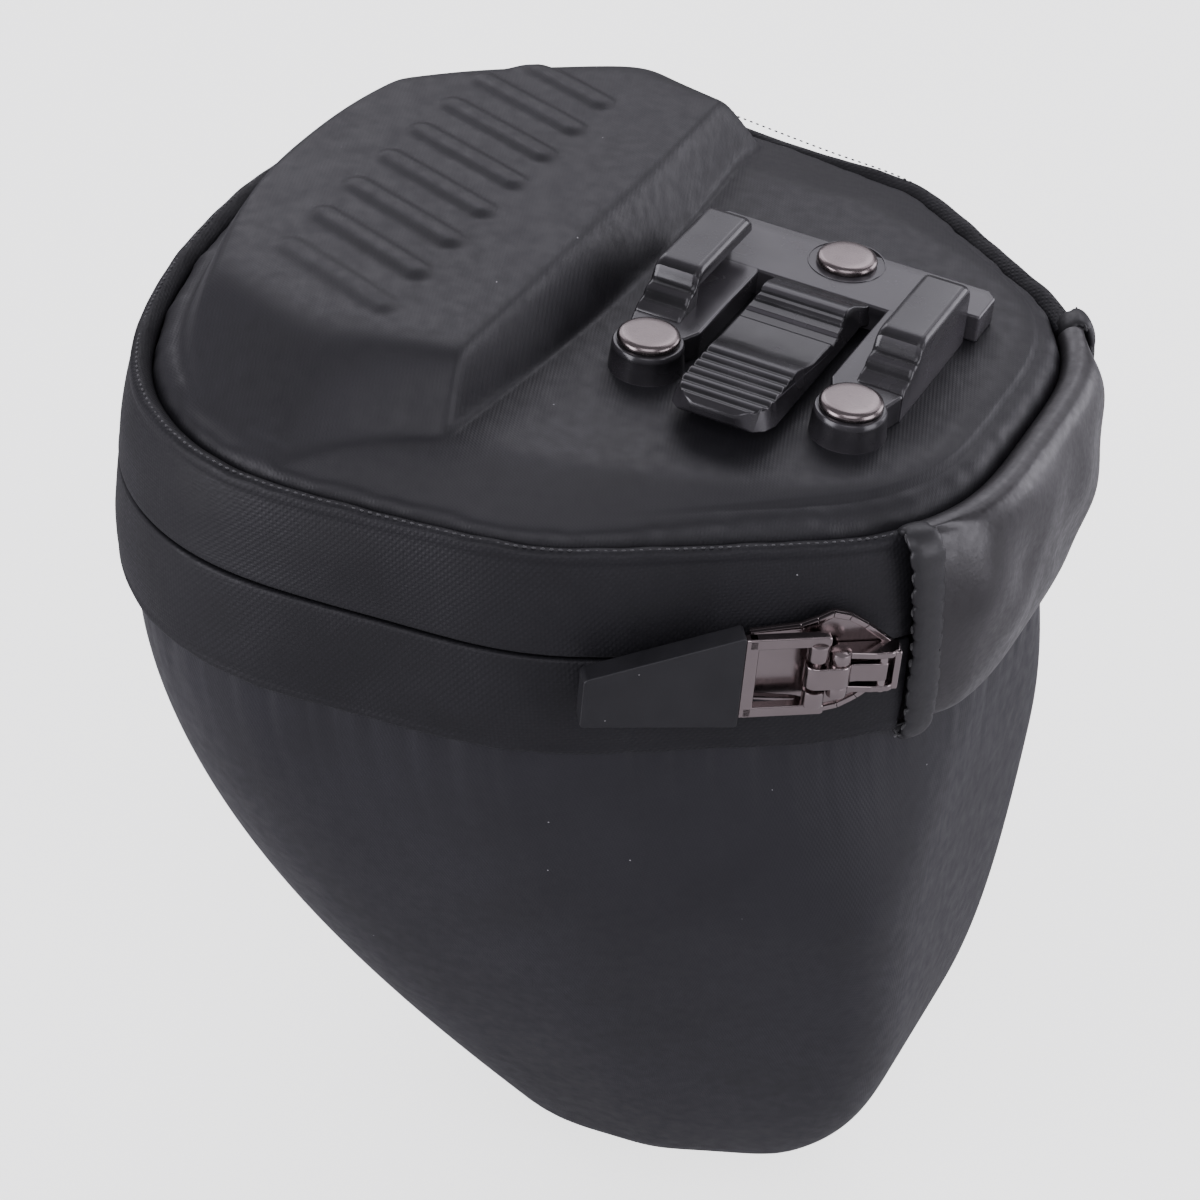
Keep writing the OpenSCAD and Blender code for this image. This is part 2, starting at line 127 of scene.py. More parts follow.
def lay_floor():
    """A pale floor that bends up into a backdrop far behind."""
    floor_z = (BAG_BOTTOM_Z - FLOOR_GAP) * MM
    half, steps = 3.0, 24
    bm = bmesh.new()
    rows = []
    for i in range(steps + 1):
        bend = math.radians(90) * i / steps
        y, z = 3.0 + math.sin(bend), floor_z + 1 - math.cos(bend)
        rows.append([bm.verts.new((x, y, z)) for x in (-half, half)])
    rows.insert(0, [bm.verts.new((x, -3.0, floor_z)) for x in (-half, half)])
    for a, b in zip(rows, rows[1:]):
        bm.faces.new((a[0], a[1], b[1], b[0]))
    mesh = bpy.data.meshes.new("studio_floor")
    bm.to_mesh(mesh)
    bm.free()
    mesh.shade_smooth()
    floor = placed("studio_floor", mesh)
    mesh.materials.append(floor_paper())


# ---------------------------------------------------------------- shader groups and finishes

def shader_group(name, takes, gives):
    """An empty node group with named inputs (name, type, value) and outputs (name, type)."""
    tree = bpy.data.node_groups.new(name, "ShaderNodeTree")
    for label, kind, value in takes:
        socket = tree.interface.new_socket(label, in_out="INPUT", socket_type=kind)
        if value is not None:
            socket.default_value = value
    for label, kind in gives:
        tree.interface.new_socket(label, in_out="OUTPUT", socket_type=kind)
    return tree, Wiring(tree, tree.nodes.new("NodeGroupInput")), tree.nodes.new("NodeGroupOutput")


class Wiring:
    """Adds nodes to a tree, taking plain numbers or other nodes' sockets as their inputs."""

    def __init__(self, tree, inlet=None):
        self.tree, self.inlet = tree, inlet

    def feed(self, socket, value):
        if isinstance(value, bpy.types.NodeSocket):
            self.tree.links.new(value, socket)
        else:
            socket.default_value = value

    def node(self, kind, inputs=(), **settings):
        made = self.tree.nodes.new(kind)
        for key, value in settings.items():
            setattr(made, key, value)
        for key, value in dict(inputs).items():
            self.feed(made.inputs[key], value)
        return made

    def sum(self, operation, a, b=0.0):
        return self.node("ShaderNodeMath", {0: a, 1: b}, operation=operation).outputs[0]

    def times(self, a, b):
        return self.sum("MULTIPLY", a, b)

    def plus(self, a, b):
        return self.sum("ADD", a, b)

    def ramp(self, value, low, high, to_low=0.0, to_high=1.0):
        made = self.node("ShaderNodeMapRange", {"Value": value, "From Min": low, "From Max": high,
                                                "To Min": to_low, "To Max": to_high})
        return made.outputs["Result"]

    def noise(self, vector, scale, detail=2.0, roughness=0.5, stretch=None):
        if stretch is not None:
            vector = self.node("ShaderNodeVectorMath", {0: vector, 1: stretch},
                               operation="MULTIPLY").outputs[0]
        return self.node("ShaderNodeTexNoise", {"Vector": vector, "Scale": scale, "Detail": detail,
                                                "Roughness": roughness}).outputs["Fac"]

    def blend(self, share, a, b):
        made = self.node("ShaderNodeMix", data_type="RGBA")
        self.feed(made.inputs["Factor"], share)
        self.feed(made.inputs[6], a)
        self.feed(made.inputs[7], b)
        return made.outputs[2]

    def group(self, tree, inputs):
        made = self.node("ShaderNodeGroup")
        made.node_tree = tree
        for key, value in inputs.items():
            self.feed(made.inputs[key], value)
        return made.outputs


def cloth_weave_group():
    """Crossed threads as a height, for a place given in millimetres."""
    tree, w, out = shader_group("cloth_weave", [("Place", "NodeSocketVector", None),
                                                ("Pitch", "NodeSocketFloat", 0.5),
                                                ("Slant", "NodeSocketFloat", 0.5)],
                                [("Height", "NodeSocketFloat")])
    take = w.inlet.outputs
    parts = w.node("ShaderNodeSeparateXYZ", {0: take["Place"]}).outputs
    turn = w.sum("DIVIDE", 2 * math.pi, take["Pitch"])
    slanted = w.times(parts["Y"], take["Slant"])
    warp = w.sum("SINE", w.times(w.plus(parts["X"], slanted), turn))
    weft = w.sum("SINE", w.times(w.sum("SUBTRACT", parts["Y"], w.times(parts["X"], take["Slant"])), turn))
    high = w.times(w.plus(w.times(warp, weft), warp), 0.3)
    w.feed(out.inputs["Height"], high)
    return tree


def dust_group():
    """Sparse pale specks as a mask, for a place given in millimetres."""
    tree, w, out = shader_group("dust_specks", [("Place", "NodeSocketVector", None),
                                                ("Spacing", "NodeSocketFloat", 3.0),
                                                ("Size", "NodeSocketFloat", 0.05)],
                                [("Mask", "NodeSocketFloat")])
    take = w.inlet.outputs
    scale = w.sum("DIVIDE", 1.0, take["Spacing"])
    cells = w.node("ShaderNodeTexVoronoi", {"Vector": take["Place"], "Scale": scale})
    near = w.sum("LESS_THAN", cells.outputs["Distance"], take["Size"])
    pick = w.node("ShaderNodeSeparateColor", {0: cells.outputs["Color"]}).outputs["Red"]
    w.feed(out.inputs["Mask"], w.times(near, w.sum("GREATER_THAN", pick, 0.55)))
    return tree


def hide_grain_group():
    """Pebbled leather grain with finer pores, as a height, for a place given in millimetres."""
    tree, w, out = shader_group("hide_grain", [("Place", "NodeSocketVector", None),
                                               ("Pebble", "NodeSocketFloat", 0.8)],
                                [("Height", "NodeSocketFloat")])
    take = w.inlet.outputs
    scale = w.sum("DIVIDE", 1.0, take["Pebble"])
    cells = w.node("ShaderNodeTexVoronoi", {"Vector": take["Place"], "Scale": scale}, feature="SMOOTH_F1")
    pores = w.noise(take["Place"], 3.5, 3)
    w.feed(out.inputs["Height"], w.plus(cells.outputs["Distance"], w.times(pores, 0.4)))
    return tree


def brushing_group():
    """Fine parallel scratches along one axis, as a mask from 0 to 1, for a place given in millimetres."""
    tree, w, out = shader_group("brushing", [("Place", "NodeSocketVector", None),
                                             ("Grain", "NodeSocketVector", (1, 30, 30))],
                                [("Mask", "NodeSocketFloat")])
    take = w.inlet.outputs
    lines = w.noise(take["Place"], 0.6, 4, 0.6, stretch=take["Grain"])
    w.feed(out.inputs["Mask"], lines)
    return tree


GROUPS = {"weave": cloth_weave_group(), "dust": dust_group(), "grain": hide_grain_group(),
          "brushing": brushing_group()}


def finish(name, roughness=0.5, metallic=0.0, sheen=0.0, coat=0.0, specular=0.5):
    """A material with a plain shader, and the wiring to add to it."""
    made = bpy.data.materials.new(name)
    made.use_nodes = True
    tree = made.node_tree
    shader = tree.nodes["Principled BSDF"]
    shader.inputs["Metallic"].default_value = metallic
    shader.inputs["Roughness"].default_value = roughness
    shader.inputs["Sheen Weight"].default_value = sheen
    shader.inputs["Sheen Roughness"].default_value = 0.6
    shader.inputs["Coat Weight"].default_value = coat
    shader.inputs["Coat Roughness"].default_value = 0.25
    shader.inputs["Specular IOR Level"].default_value = specular
    return made, Wiring(tree), shader


def shaded(base, times):
    """A colour made darker or lighter, with its alpha."""
    return tuple(c * times for c in base) + (1,)


def coloured(w, shader, colour, roughness):
    w.feed(shader.inputs["Base Color"], colour)
    w.feed(shader.inputs["Roughness"], roughness)


def dusted(w, spot, shade, spacing, size, strength, pale):
    """A colour with sparse specks of pale dust on it."""
    specks = w.group(GROUPS["dust"], {"Place": spot, "Spacing": spacing, "Size": size})["Mask"]
    return w.blend(w.times(specks, strength), shade, pale)


def in_mm(w, source="Object"):
    """Object coordinates, or the piece's own UV map, in millimetres."""
    if source == "Object":
        spot = w.node("ShaderNodeTexCoord").outputs["Object"]
        return w.node("ShaderNodeVectorMath", {0: spot, 1: (1000, 1000, 1000)},
                      operation="MULTIPLY").outputs[0]
    return w.node("ShaderNodeUVMap", uv_map="along").outputs[0]


def bump(w, shader, height, distance_mm, strength=1.0, under=None):
    inputs = {"Height": height, "Distance": distance_mm * MM, "Strength": strength}
    if under is not None:
        inputs["Normal"] = under
    made = w.node("ShaderNodeBump", inputs).outputs["Normal"]
    w.feed(shader.inputs["Normal"], made)
    return made


def floor_paper():
    """Pale paper, bright to the eye but dull in its bounce, so that the dark bag keeps its shading."""
    made, w, shader = finish("pale_paper", 0.9, specular=0.1)
    spot = in_mm(w)
    soft = w.noise(spot, 0.004, 2)
    seen = w.blend(w.ramp(soft, 0.3, 0.7), (0.95, 0.965, 0.93, 1), (0.97, 0.985, 0.95, 1))
    direct = w.node("ShaderNodeLightPath").outputs["Is Camera Ray"]
    w.feed(shader.inputs["Base Color"], w.blend(direct, (0.5, 0.5, 0.5, 1), seen))
    w.feed(shader.inputs["Emission Color"], w.blend(direct, (0, 0, 0, 1), (1, 1, 1, 1)))
    shader.inputs["Emission Strength"].default_value = 1.7
    return made


def moulded_skin(name, source, base, rough):
    """Thin coated cloth pressed over moulded foam: a faint weave, soft blotches and specks of dust."""
    made, w, shader = finish(name, rough, specular=0.4)
    spot = in_mm(w)
    threads = in_mm(w, source)
    blotch = w.noise(spot, 0.06, 3)
    cloud = w.noise(spot, 0.5, 3)
    dark = shaded(base, 0.86)
    light = shaded(base, 1.12)
    shade = w.blend(w.ramp(blotch, 0.35, 0.65), dark, light)
    weave = w.group(GROUPS["weave"], {"Place": threads, "Pitch": 0.55, "Slant": 0.35})["Height"]
    shade = w.blend(w.ramp(weave, -0.2, 0.6, 0.0, 0.16), shade, shaded(base, 1.9))
    shade = dusted(w, spot, shade, 5.0, 0.022, 0.6, (0.6, 0.6, 0.62, 1))
    coloured(w, shader, shade, w.ramp(cloud, 0.3, 0.7, rough - 0.05, rough + 0.06))
    grown = w.plus(w.times(weave, w.ramp(blotch, 0.3, 0.6, 0.35, 1.0)), w.times(cloud, 0.22))
    bump(w, shader, grown, 0.035, 0.6)
    return made


def coated_tape(name):
    """Coated twill tape: slanted threads that show more in some patches than in others."""
    base = (0.009, 0.0088, 0.0105)
    made, w, shader = finish(name, 0.55, specular=0.3)
    spot, threads = in_mm(w), in_mm(w, "UV")
    wide = w.noise(spot, 0.08, 3)
    twill = w.group(GROUPS["weave"], {"Place": threads, "Pitch": 0.9, "Slant": 0.8})["Height"]
    fine = w.noise(threads, 1.4, 4, 0.65, stretch=(0.5, 2.2, 1))
    shade = w.blend(w.ramp(wide, 0.35, 0.65), shaded(base, 0.85), shaded(base, 1.2))
    shade = w.blend(w.ramp(twill, 0.1, 0.6, 0.0, 0.3), shade, shaded(base, 2.0))
    shade = dusted(w, spot, shade, 4.0, 0.025, 0.55, (0.55, 0.55, 0.56, 1))
    coloured(w, shader, shade, w.ramp(fine, 0.3, 0.7, 0.48, 0.66))
    high = w.plus(w.times(twill, w.ramp(wide, 0.3, 0.65, 0.25, 1.0)), w.times(fine, 0.8))
    bump(w, shader, high, 0.07, 0.7)
    return made


def soft_hide(name, base, rough):
    """Smooth imitation leather with a fine grain and long soft dents."""
    made, w, shader = finish(name, rough, coat=0.08, specular=0.5)
    spot = in_mm(w)
    grain = w.group(GROUPS["grain"], {"Place": spot, "Pebble": 0.55})["Height"]
    dents = w.noise(spot, 0.11, 3, 0.45, stretch=(1.0, 1.0, 0.6))
    shade = w.blend(w.ramp(dents, 0.35, 0.65), shaded(base, 0.85), shaded(base, 1.15))
    shade = dusted(w, spot, shade, 6.0, 0.02, 0.5, (0.5, 0.5, 0.5, 1))
    coloured(w, shader, shade, w.ramp(w.noise(spot, 0.9, 3), 0.3, 0.7, rough - 0.06, rough + 0.08))
    first = bump(w, shader, dents, 0.9, 0.5)
    bump(w, shader, grain, 0.03, 0.7, under=first)
    return made


def glossy_nylon(name):
    """Moulded black nylon: glossy, a little cloudy, with hairline scratches, and a painted edge highlight:
    paler colour along its convex edges.
    """
    made, w, shader = finish(name, 0.22, specular=0.5)
    spot = in_mm(w)
    cloud = w.noise(spot, 0.16, 3, 0.5)
    hair = w.noise(spot, 1.2, 3, 0.6, stretch=(1, 12, 4))
    edge = w.node("ShaderNodeNewGeometry").outputs["Pointiness"]
    shade = w.blend(w.ramp(cloud, 0.35, 0.7), (0.006, 0.0058, 0.0065, 1), (0.017, 0.016, 0.0178, 1))
    # painted edge highlight: the colour goes paler where Pointiness finds a convex edge, standing in for
    # reflections along the edges
    coloured(w, shader, w.blend(w.ramp(edge, 0.515, 0.58, 0.0, 0.7), shade, (0.07, 0.066, 0.072, 1)),
             w.plus(w.ramp(cloud, 0.3, 0.7, 0.15, 0.3), w.ramp(hair, 0.62, 0.8, 0.0, 0.1)))
    bump(w, shader, w.plus(cloud, w.times(hair, 0.05)), 0.1, 0.3)
    return made


def satin_nickel(name, base, rough, grain):
    """Nickel plate with faint polishing lines and a slight cloudiness."""
    made, w, shader = finish(name, rough, metallic=1.0)
    spot = in_mm(w)
    lines = w.group(GROUPS["brushing"], {"Place": spot, "Grain": grain})["Mask"]
    cloud = w.noise(spot, 0.35, 2, 0.5)
    edge = w.node("ShaderNodeNewGeometry").outputs["Pointiness"]
    shade = w.blend(w.ramp(cloud, 0.4, 0.7, 0.0, 0.4), base + (1,), shaded(base, 0.86))
    # a paler colour on convex edges, read from Pointiness
    pale_edge_colour = tuple(min(1.0, c * 1.5) for c in base) + (1,)
    coloured(w, shader, w.blend(w.ramp(edge, 0.54, 0.64, 0.0, 0.6), shade, pale_edge_colour),
             w.plus(w.ramp(lines, 0.3, 0.7, rough - 0.04, rough + 0.05), w.ramp(cloud, 0.5, 0.8, 0, 0.05)))
    bump(w, shader, lines, 0.004, 0.25)
    return made


def tab_rubber(name):
    made, w, shader = finish(name, 0.55, specular=0.45)
    spot = in_mm(w)
    fine = w.noise(spot, 5, 3, 0.7)
    cloud = w.noise(spot, 0.15, 3)
    shade = w.blend(w.ramp(cloud, 0.35, 0.65), (0.008, 0.008, 0.0095, 1), (0.012, 0.0118, 0.0138, 1))
    shade = dusted(w, spot, shade, 3.0, 0.03, 0.5, (0.5, 0.5, 0.5, 1))
    coloured(w, shader, shade, w.ramp(cloud, 0.3, 0.7, 0.48, 0.62))
    bump(w, shader, fine, 0.02, 0.6)
    return made


def spun_thread(name, base):
    made, w, shader = finish(name, 0.7, sheen=0.3)
    spot = in_mm(w)
    twist = w.noise(spot, 3, 3, 0.6, stretch=(1, 1, 3))
    coloured(w, shader, w.blend(w.ramp(twist, 0.3, 0.7), shaded(base, 0.6), base + (1,)),
             w.ramp(twist, 0.3, 0.7, 0.6, 0.85))
    bump(w, shader, twist, 0.05, 0.8)
    return made


def brushed_lining(name):
    """Knitted lining with a short nap."""
    made, w, shader = finish(name, 0.85, sheen=0.5)
    spot = in_mm(w)
    knit = w.group(GROUPS["weave"], {"Place": in_mm(w, "UV"), "Pitch": 1.1, "Slant": 0.0})["Height"]
    nap = w.noise(spot, 2.4, 4, 0.7)
    shade = w.blend(w.ramp(nap, 0.3, 0.7), (0.045, 0.045, 0.05, 1), (0.085, 0.085, 0.09, 1))
    coloured(w, shader, w.blend(w.ramp(knit, 0.0, 0.5, 0.0, 0.4), shade, (0.12, 0.12, 0.125, 1)),
             w.ramp(nap, 0.3, 0.7, 0.78, 0.95))
    bump(w, shader, w.plus(knit, w.times(nap, 0.6)), 0.12, 0.8)
    return made


def coil_nylon(name):
    made, w, shader = finish(name, 0.4)
    spot = in_mm(w)
    cloud = w.noise(spot, 1.5, 3)
    coloured(w, shader, w.blend(w.ramp(cloud, 0.3, 0.7), (0.012, 0.012, 0.014, 1), (0.03, 0.03, 0.032, 1)),
             w.ramp(cloud, 0.3, 0.7, 0.32, 0.48))
    bump(w, shader, cloud, 0.04, 0.4)
    return made


SKIN = moulded_skin("lid_skin_cloth", "Object", (0.013, 0.0127, 0.0148), 0.5)
SHELL_SKIN = moulded_skin("shell_skin_cloth", "UV", (0.012, 0.0118, 0.015), 0.48)
TAPE = coated_tape("zip_tape_twill")
HIDE = soft_hide("hinge_hide", (0.018, 0.0165, 0.018), 0.36)
BINDING_HIDE = soft_hide("binding_hide", (0.011, 0.0108, 0.012), 0.5)
NYLON = glossy_nylon("buckle_nylon")
CAP_NICKEL = satin_nickel("rivet_nickel", (0.21, 0.18, 0.178), 0.24, (1, 18, 1))
ZIP_NICKEL = satin_nickel("zip_nickel", (0.31, 0.265, 0.265), 0.18, (16, 1, 1))
BACKING = satin_nickel("backing_aluminium", (0.62, 0.62, 0.63), 0.42, (1, 24, 1))
RUBBER = tab_rubber("pull_tab_rubber")
THREAD = spun_thread("black_thread", (0.004, 0.004, 0.0045))
EDGE_THREAD = spun_thread("edge_thread", (0.028, 0.028, 0.031))
LINING = brushed_lining("lining_knit")
COIL = coil_nylon("coil_nylon")


# ---------------------------------------------------------------- the rim line

def half_outline(build_up):
    """The far half of the outline from the front's middle to the back's, as x, y and its normal's angle."""
    nose = (NOSE[0] + 15 * build_up, NOSE[1] + 17 * build_up, NOSE[2] - 17 * build_up)
    back_half = math.atan2(CORNER[1], BACK_X - CORNER[0])
    found = [(nose[0] + nose[2], 0.0, 0.0)]
    for a in np.radians(np.arange(0, 180.01, 0.5)):
        arcs = [(BACK_X, 0, BACK_R)] if math.pi - a < back_half else [CORNER, SIDE, nose]
        c = max(arcs, key=lambda arc: arc[0] * math.cos(a) + arc[1] * math.sin(a) + arc[2])
        found.append((c[0] + c[2] * math.cos(a), c[1] + c[2] * math.sin(a), a))
    return np.array(found)


# How far the used bag's soft rim has settled inwards, by the angle of its normal
EASE_ANGLES = (0, 30, 50, 58, 66, 76, 90, 110, 130, 155, 175, 200, 225, 360)
EASE = (0, -0.5, -0.7, 1.0, 3.4, 5.0, 5.5, 5.2, 3.6, 1.2, 0, -0.4, 0, 0)


def whole_outline(build_up=0.0):
    """The closed outline, anticlockwise from the front's middle, with its length so far in a first column."""
    far = half_outline(build_up)
    near = far[::-1] * (1, -1, -1) + (0, 0, 2 * math.pi)
    both = np.vstack([far, near[1:]])
    run = np.concatenate([[0], np.cumsum(np.hypot(*np.diff(both[:, :2], axis=0).T))])
    ease = np.interp(np.degrees(both[:, 2]), EASE_ANGLES, EASE)
    both[:, 0] -= ease * np.cos(both[:, 2])
    both[:, 1] -= ease * np.sin(both[:, 2])
    even = np.linspace(0, run[-1], 1200, endpoint=False)
    spread = 5.0 / (run[-1] / 1200)
    reach = np.arange(-40, 41)
    weights = np.exp(-0.5 * (reach / spread) ** 2)
    weights /= weights.sum()
    soft = []
    for k in (0, 1):
        values = np.interp(even, run, both[:, k])
        soft.append(sum(weight * np.roll(values, -shift) for weight, shift in zip(weights, reach)))
    x, y = (np.append(v, v[0]) for v in soft)
    a = np.unwrap(np.arctan2(-(np.roll(x[:-1], -1) - np.roll(x[:-1], 1)),
                             np.roll(y[:-1], -1) - np.roll(y[:-1], 1)))
    a = np.append(a - a[0], 2 * math.pi)
    x, y = x + 0.38 * np.cos(a), y + 0.38 * np.sin(a)
    length = np.concatenate([[0], np.cumsum(np.hypot(np.diff(x), np.diff(y)))])
    return np.column_stack([length, x, y, a])


RIM = whole_outline()
RIM_LENGTH = RIM[-1, 0]


def rim_place(s, grow):
    """Points of the rim line at lengths s round it, moved out by grow."""
    s = np.mod(s, RIM_LENGTH)
    x, y, a = (np.interp(s, RIM[:, 0], RIM[:, k]) for k in (1, 2, 3))
    return x + grow * np.cos(a), y + grow * np.sin(a)


def rim_length_at(angle):
    """How far round the rim its normal has the given angle, in degrees."""
    return float(np.interp(math.radians(angle % 360), RIM[:, 3], RIM[:, 0]))


def smooth_step(t):
    return t * t * (3 - 2 * t)


def wander(s, seed, wave):
    """Smooth unevenness of about -1 to 1 along a length, with the same result each run."""
    rng = np.random.RandomState(seed)
    total = np.zeros_like(np.asarray(s, float))
    for k in range(5):
        total += math.sin(1 + k) * np.sin(2 * math.pi * s / (wave * (0.6 + 0.35 * k)) + rng.uniform(0, 6.28))
    return total / 2.2


# ---------------------------------------------------------------- meshes

def worn(piece, body, slot, *nodes):
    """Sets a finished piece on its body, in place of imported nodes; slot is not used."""
    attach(piece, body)
    if nodes:
        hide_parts(*nodes)


def piece_from(name, mesh, material):
    piece = placed(name, mesh)
    mesh.materials.clear()
    mesh.materials.append(material)
    return piece


def closed_loft(name, rings, material, places=None, poles=True, smooth=60):
    """A closed skin through rings of points, each ring a closed loop. The ends close on a point (poles) or a
    flat face. places are the skin's own (along, up) coordinates in millimetres, kept as a UV map."""
    rings = np.asarray(rings, float)
    count, around = rings.shape[:2]
    verts = [tuple(p) for p in rings.reshape(-1, 3) * MM]
    faces, at = [], []
    for i in range(count - 1):
        for j in range(around):
            k = (j + 1) % around
            faces.append((i * around + j, i * around + k, (i + 1) * around + k, (i + 1) * around + j))
            at.append(((i, j), (i, j + 1), (i + 1, j + 1), (i + 1, j)))
    for i, flip in ((0, True), (count - 1, False)):
        loop = [i * around + j for j in range(around)]
        if poles:
            verts.append(tuple(rings[i].mean(0) * MM))
            for j in range(around):
                k = (j + 1) % around
                faces.append((loop[k], loop[j], len(verts) - 1) if flip else (loop[j], loop[k],
                                                                              len(verts) - 1))
                at.append(((i, j + 1), (i, j), (i, j)) if flip else ((i, j), (i, j + 1), (i, j)))
        else:
            faces.append(tuple(loop[::-1] if flip else loop))
            at.append(tuple((i, j) for j in (range(around - 1, -1, -1) if flip else range(around))))
    mesh = bpy.data.meshes.new(name)
    mesh.from_pydata(verts, [], faces)
    if places is not None:
        grid = np.asarray(places, float)
        flat = np.array([grid[i, j] for face in at for i, j in face])
        layer = mesh.uv_layers.new(name="along")
        layer.data.foreach_set("uv", flat.astype(np.float32).ravel())
    face_outwards(mesh)
    mesh.shade_smooth()
    mesh.set_sharp_from_angle(angle=math.radians(smooth))
    return piece_from(name, mesh, material)


def face_outwards(mesh):
    bm = bmesh.new()
    bm.from_mesh(mesh)
    turn_outwards(bm)
    bm.to_mesh(mesh)
    bm.free()


def turn_outwards(form):
    """One closed form's faces, all turned to the outside."""
    bmesh.ops.recalc_face_normals(form, faces=form.faces)
    if form.calc_volume(signed=True) < 0:
        bmesh.ops.reverse_faces(form, faces=form.faces)


def round_corners(section, times=2):
    """Cuts the corners of a closed section again and again, until it is soft."""
    points = np.asarray(section, float)
    for _ in range(times):
        after = np.roll(points, -1, axis=0)
        points = np.stack([points * 0.75 + after * 0.25, points * 0.25 + after * 0.75], 1).reshape(-1, 2)
    return points


def band_strip(name, section, start, end, material, step=0.9, shape=None, times=2, smooth=60):
    """A soft strip swept round the rim from length start to end. shape(s, points) may bend the section's
    [grow, z] points at each place."""
    points = round_corners(section, times)
    lengths = np.linspace(start, end, max(3, int((end - start) / step)))
    run = np.concatenate([[0], np.cumsum(np.hypot(*(np.roll(points, -1, 0) - points).T))])
    rings, places = [], []
    for s in lengths:
        local = points if shape is None else shape(s, points.copy())
        x, y = rim_place(np.full(len(local), s), local[:, 0])
        rings.append(np.column_stack([x, y, local[:, 1]]))
        places.append([(s, r) for r in run])
    return closed_loft(name, rings, material, np.array(places), poles=False, smooth=smooth)


def freeze(piece, name=None):
    """Turns a piece with live modifiers into a plain mesh of its own."""
    bpy.context.view_layer.update()
    mesh = bpy.data.meshes.new_from_object(piece.evaluated_get(bpy.context.evaluated_depsgraph_get()))
    materials = list(piece.data.materials)
    label = name or piece.name
    made = placed(label + "_made", mesh)
    bpy.data.objects.remove(piece)
    made.name = label
    if not mesh.materials:
        for m in materials:
            mesh.materials.append(m)
    return made


# ---------------------------------------------------------------- hard parts: prisms with rounded edges

def straight(p):
    return p


S_SLANT = math.radians(math.degrees(math.atan2(SIDE[1] - NOSE[1], NOSE[0] - SIDE[0]))
                       - math.degrees(math.acos((SIDE[2] - NOSE[2]) / math.hypot(NOSE[0] - SIDE[0],
                                                                                 SIDE[1] - NOSE[1]))) + 90)
SLIDER = (NOSE[0] + (NOSE[2] + 4.3) * math.sin(S_SLANT), -NOSE[1] - (NOSE[2] + 4.3) * math.cos(S_SLANT))


def by_zip(p):
    """A place beside the slider, given as (along, up, out)."""
    t, up, out = p
    return (SLIDER[0] + t * math.cos(S_SLANT) + out * math.sin(S_SLANT),
            SLIDER[1] + t * math.sin(S_SLANT) - out * math.cos(S_SLANT), ZIP_Z + up)


def side_by_zip(p):
    """A side outline (along, out) run upwards at the slider."""
    return by_zip((p[0], p[2], p[1]))


def along_x(p):
    """A side outline (y, z) run along x."""
    return (p[2], p[0], p[1])


class HardPart:
    """Collects rounded prisms and turned forms into one mesh."""

    def __init__(self, name, material):
        self.name, self.material, self.bm = name, material, bmesh.new()

    def take(self, made, place):
        bmesh.ops.remove_doubles(made, verts=made.verts, dist=1e-4)
        for v in made.verts:
            v.co = Vector(place(tuple(v.co)))
        turn_outwards(made)
        for v in made.verts:
            v.co *= MM
        mesh = bpy.data.meshes.new("part_of")
        made.to_mesh(mesh)
        self.bm.from_mesh(mesh)
        bpy.data.meshes.remove(mesh)
        made.free()
        return self

    def prism(self, outline, low, high, place=straight, edge=0.3, steps=3, taper=1.0):
        """An outline of (u, v) points from low to high, its edges rounded. taper shrinks the high end."""
        made = bmesh.new()
        middle = np.mean(np.array(outline, float), 0)
        top = [tuple(middle + (np.array(p) - middle) * taper) for p in outline]
        bottom = [made.verts.new((u, v, low)) for u, v in outline]
        upper = [made.verts.new((u, v, high)) for u, v in top]
        made.faces.new(bottom[::-1])
        made.faces.new(upper)
        for i in range(len(bottom)):
            j = (i + 1) % len(bottom)
            made.faces.new((bottom[i], bottom[j], upper[j], upper[i]))
        bmesh.ops.recalc_face_normals(made, faces=made.faces)
        if edge:
            bmesh.ops.bevel(made, geom=made.edges[:], offset=edge, segments=steps, profile=0.5,
                            affect="EDGES", clamp_overlap=True)
        return self.take(made, place)

    def turned(self, profile, place=straight, sides=40, middle=(0, 0)):
        """A closed turned form from (radius, height) points, from the axis at the top to the axis below."""
        made = bmesh.new()
        rings = []
        for r, h in profile:
            if r < 1e-6:
                rings.append([made.verts.new((middle[0], middle[1], h))])
            else:
                rings.append([made.verts.new((middle[0] + r * math.cos(2 * math.pi * k / sides),
                                              middle[1] + r * math.sin(2 * math.pi * k / sides),
                                              h)) for k in range(sides)])
        for a, b in zip(rings, rings[1:]):
            for k in range(sides):
                m = (k + 1) % sides
                corners = [a[k % len(a)], a[m % len(a)], b[m % len(b)], b[k % len(b)]]
                distinct = list(dict.fromkeys(corners))
                if len(distinct) > 2:
                    made.faces.new(distinct)
        return self.take(made, place)

    def lofted(self, rings, place=straight):
        """A closed form through cross-sections with the same number of points each."""
        made = bmesh.new()
        loops = [[made.verts.new(p) for p in ring] for ring in rings]
        for a, b in zip(loops, loops[1:]):
            for i in range(len(a)):
                j = (i + 1) % len(a)
                made.faces.new((a[i], a[j], b[j], b[i]))
        made.faces.new(loops[0])
        made.faces.new(loops[-1][::-1])
        return self.take(made, place)

    def done(self, smooth=35):
        mesh = bpy.data.meshes.new(self.name)
        self.bm.to_mesh(mesh)
        self.bm.free()
        mesh.shade_smooth()
        mesh.set_sharp_from_angle(angle=math.radians(smooth))
        piece = piece_from(self.name, mesh, self.material)
        even = piece.modifiers.new("even_shading", "WEIGHTED_NORMAL")
        even.keep_sharp = True
        return piece


def arc_points(cx, cy, r, a0, a1, steps):
    return [(cx + r * math.cos(math.radians(a0 + (a1 - a0) * k / steps)),
             cy + r * math.sin(math.radians(a0 + (a1 - a0) * k / steps))) for k in range(steps + 1)]


# ---------------------------------------------------------------- Geometry Nodes: what repeats along a line

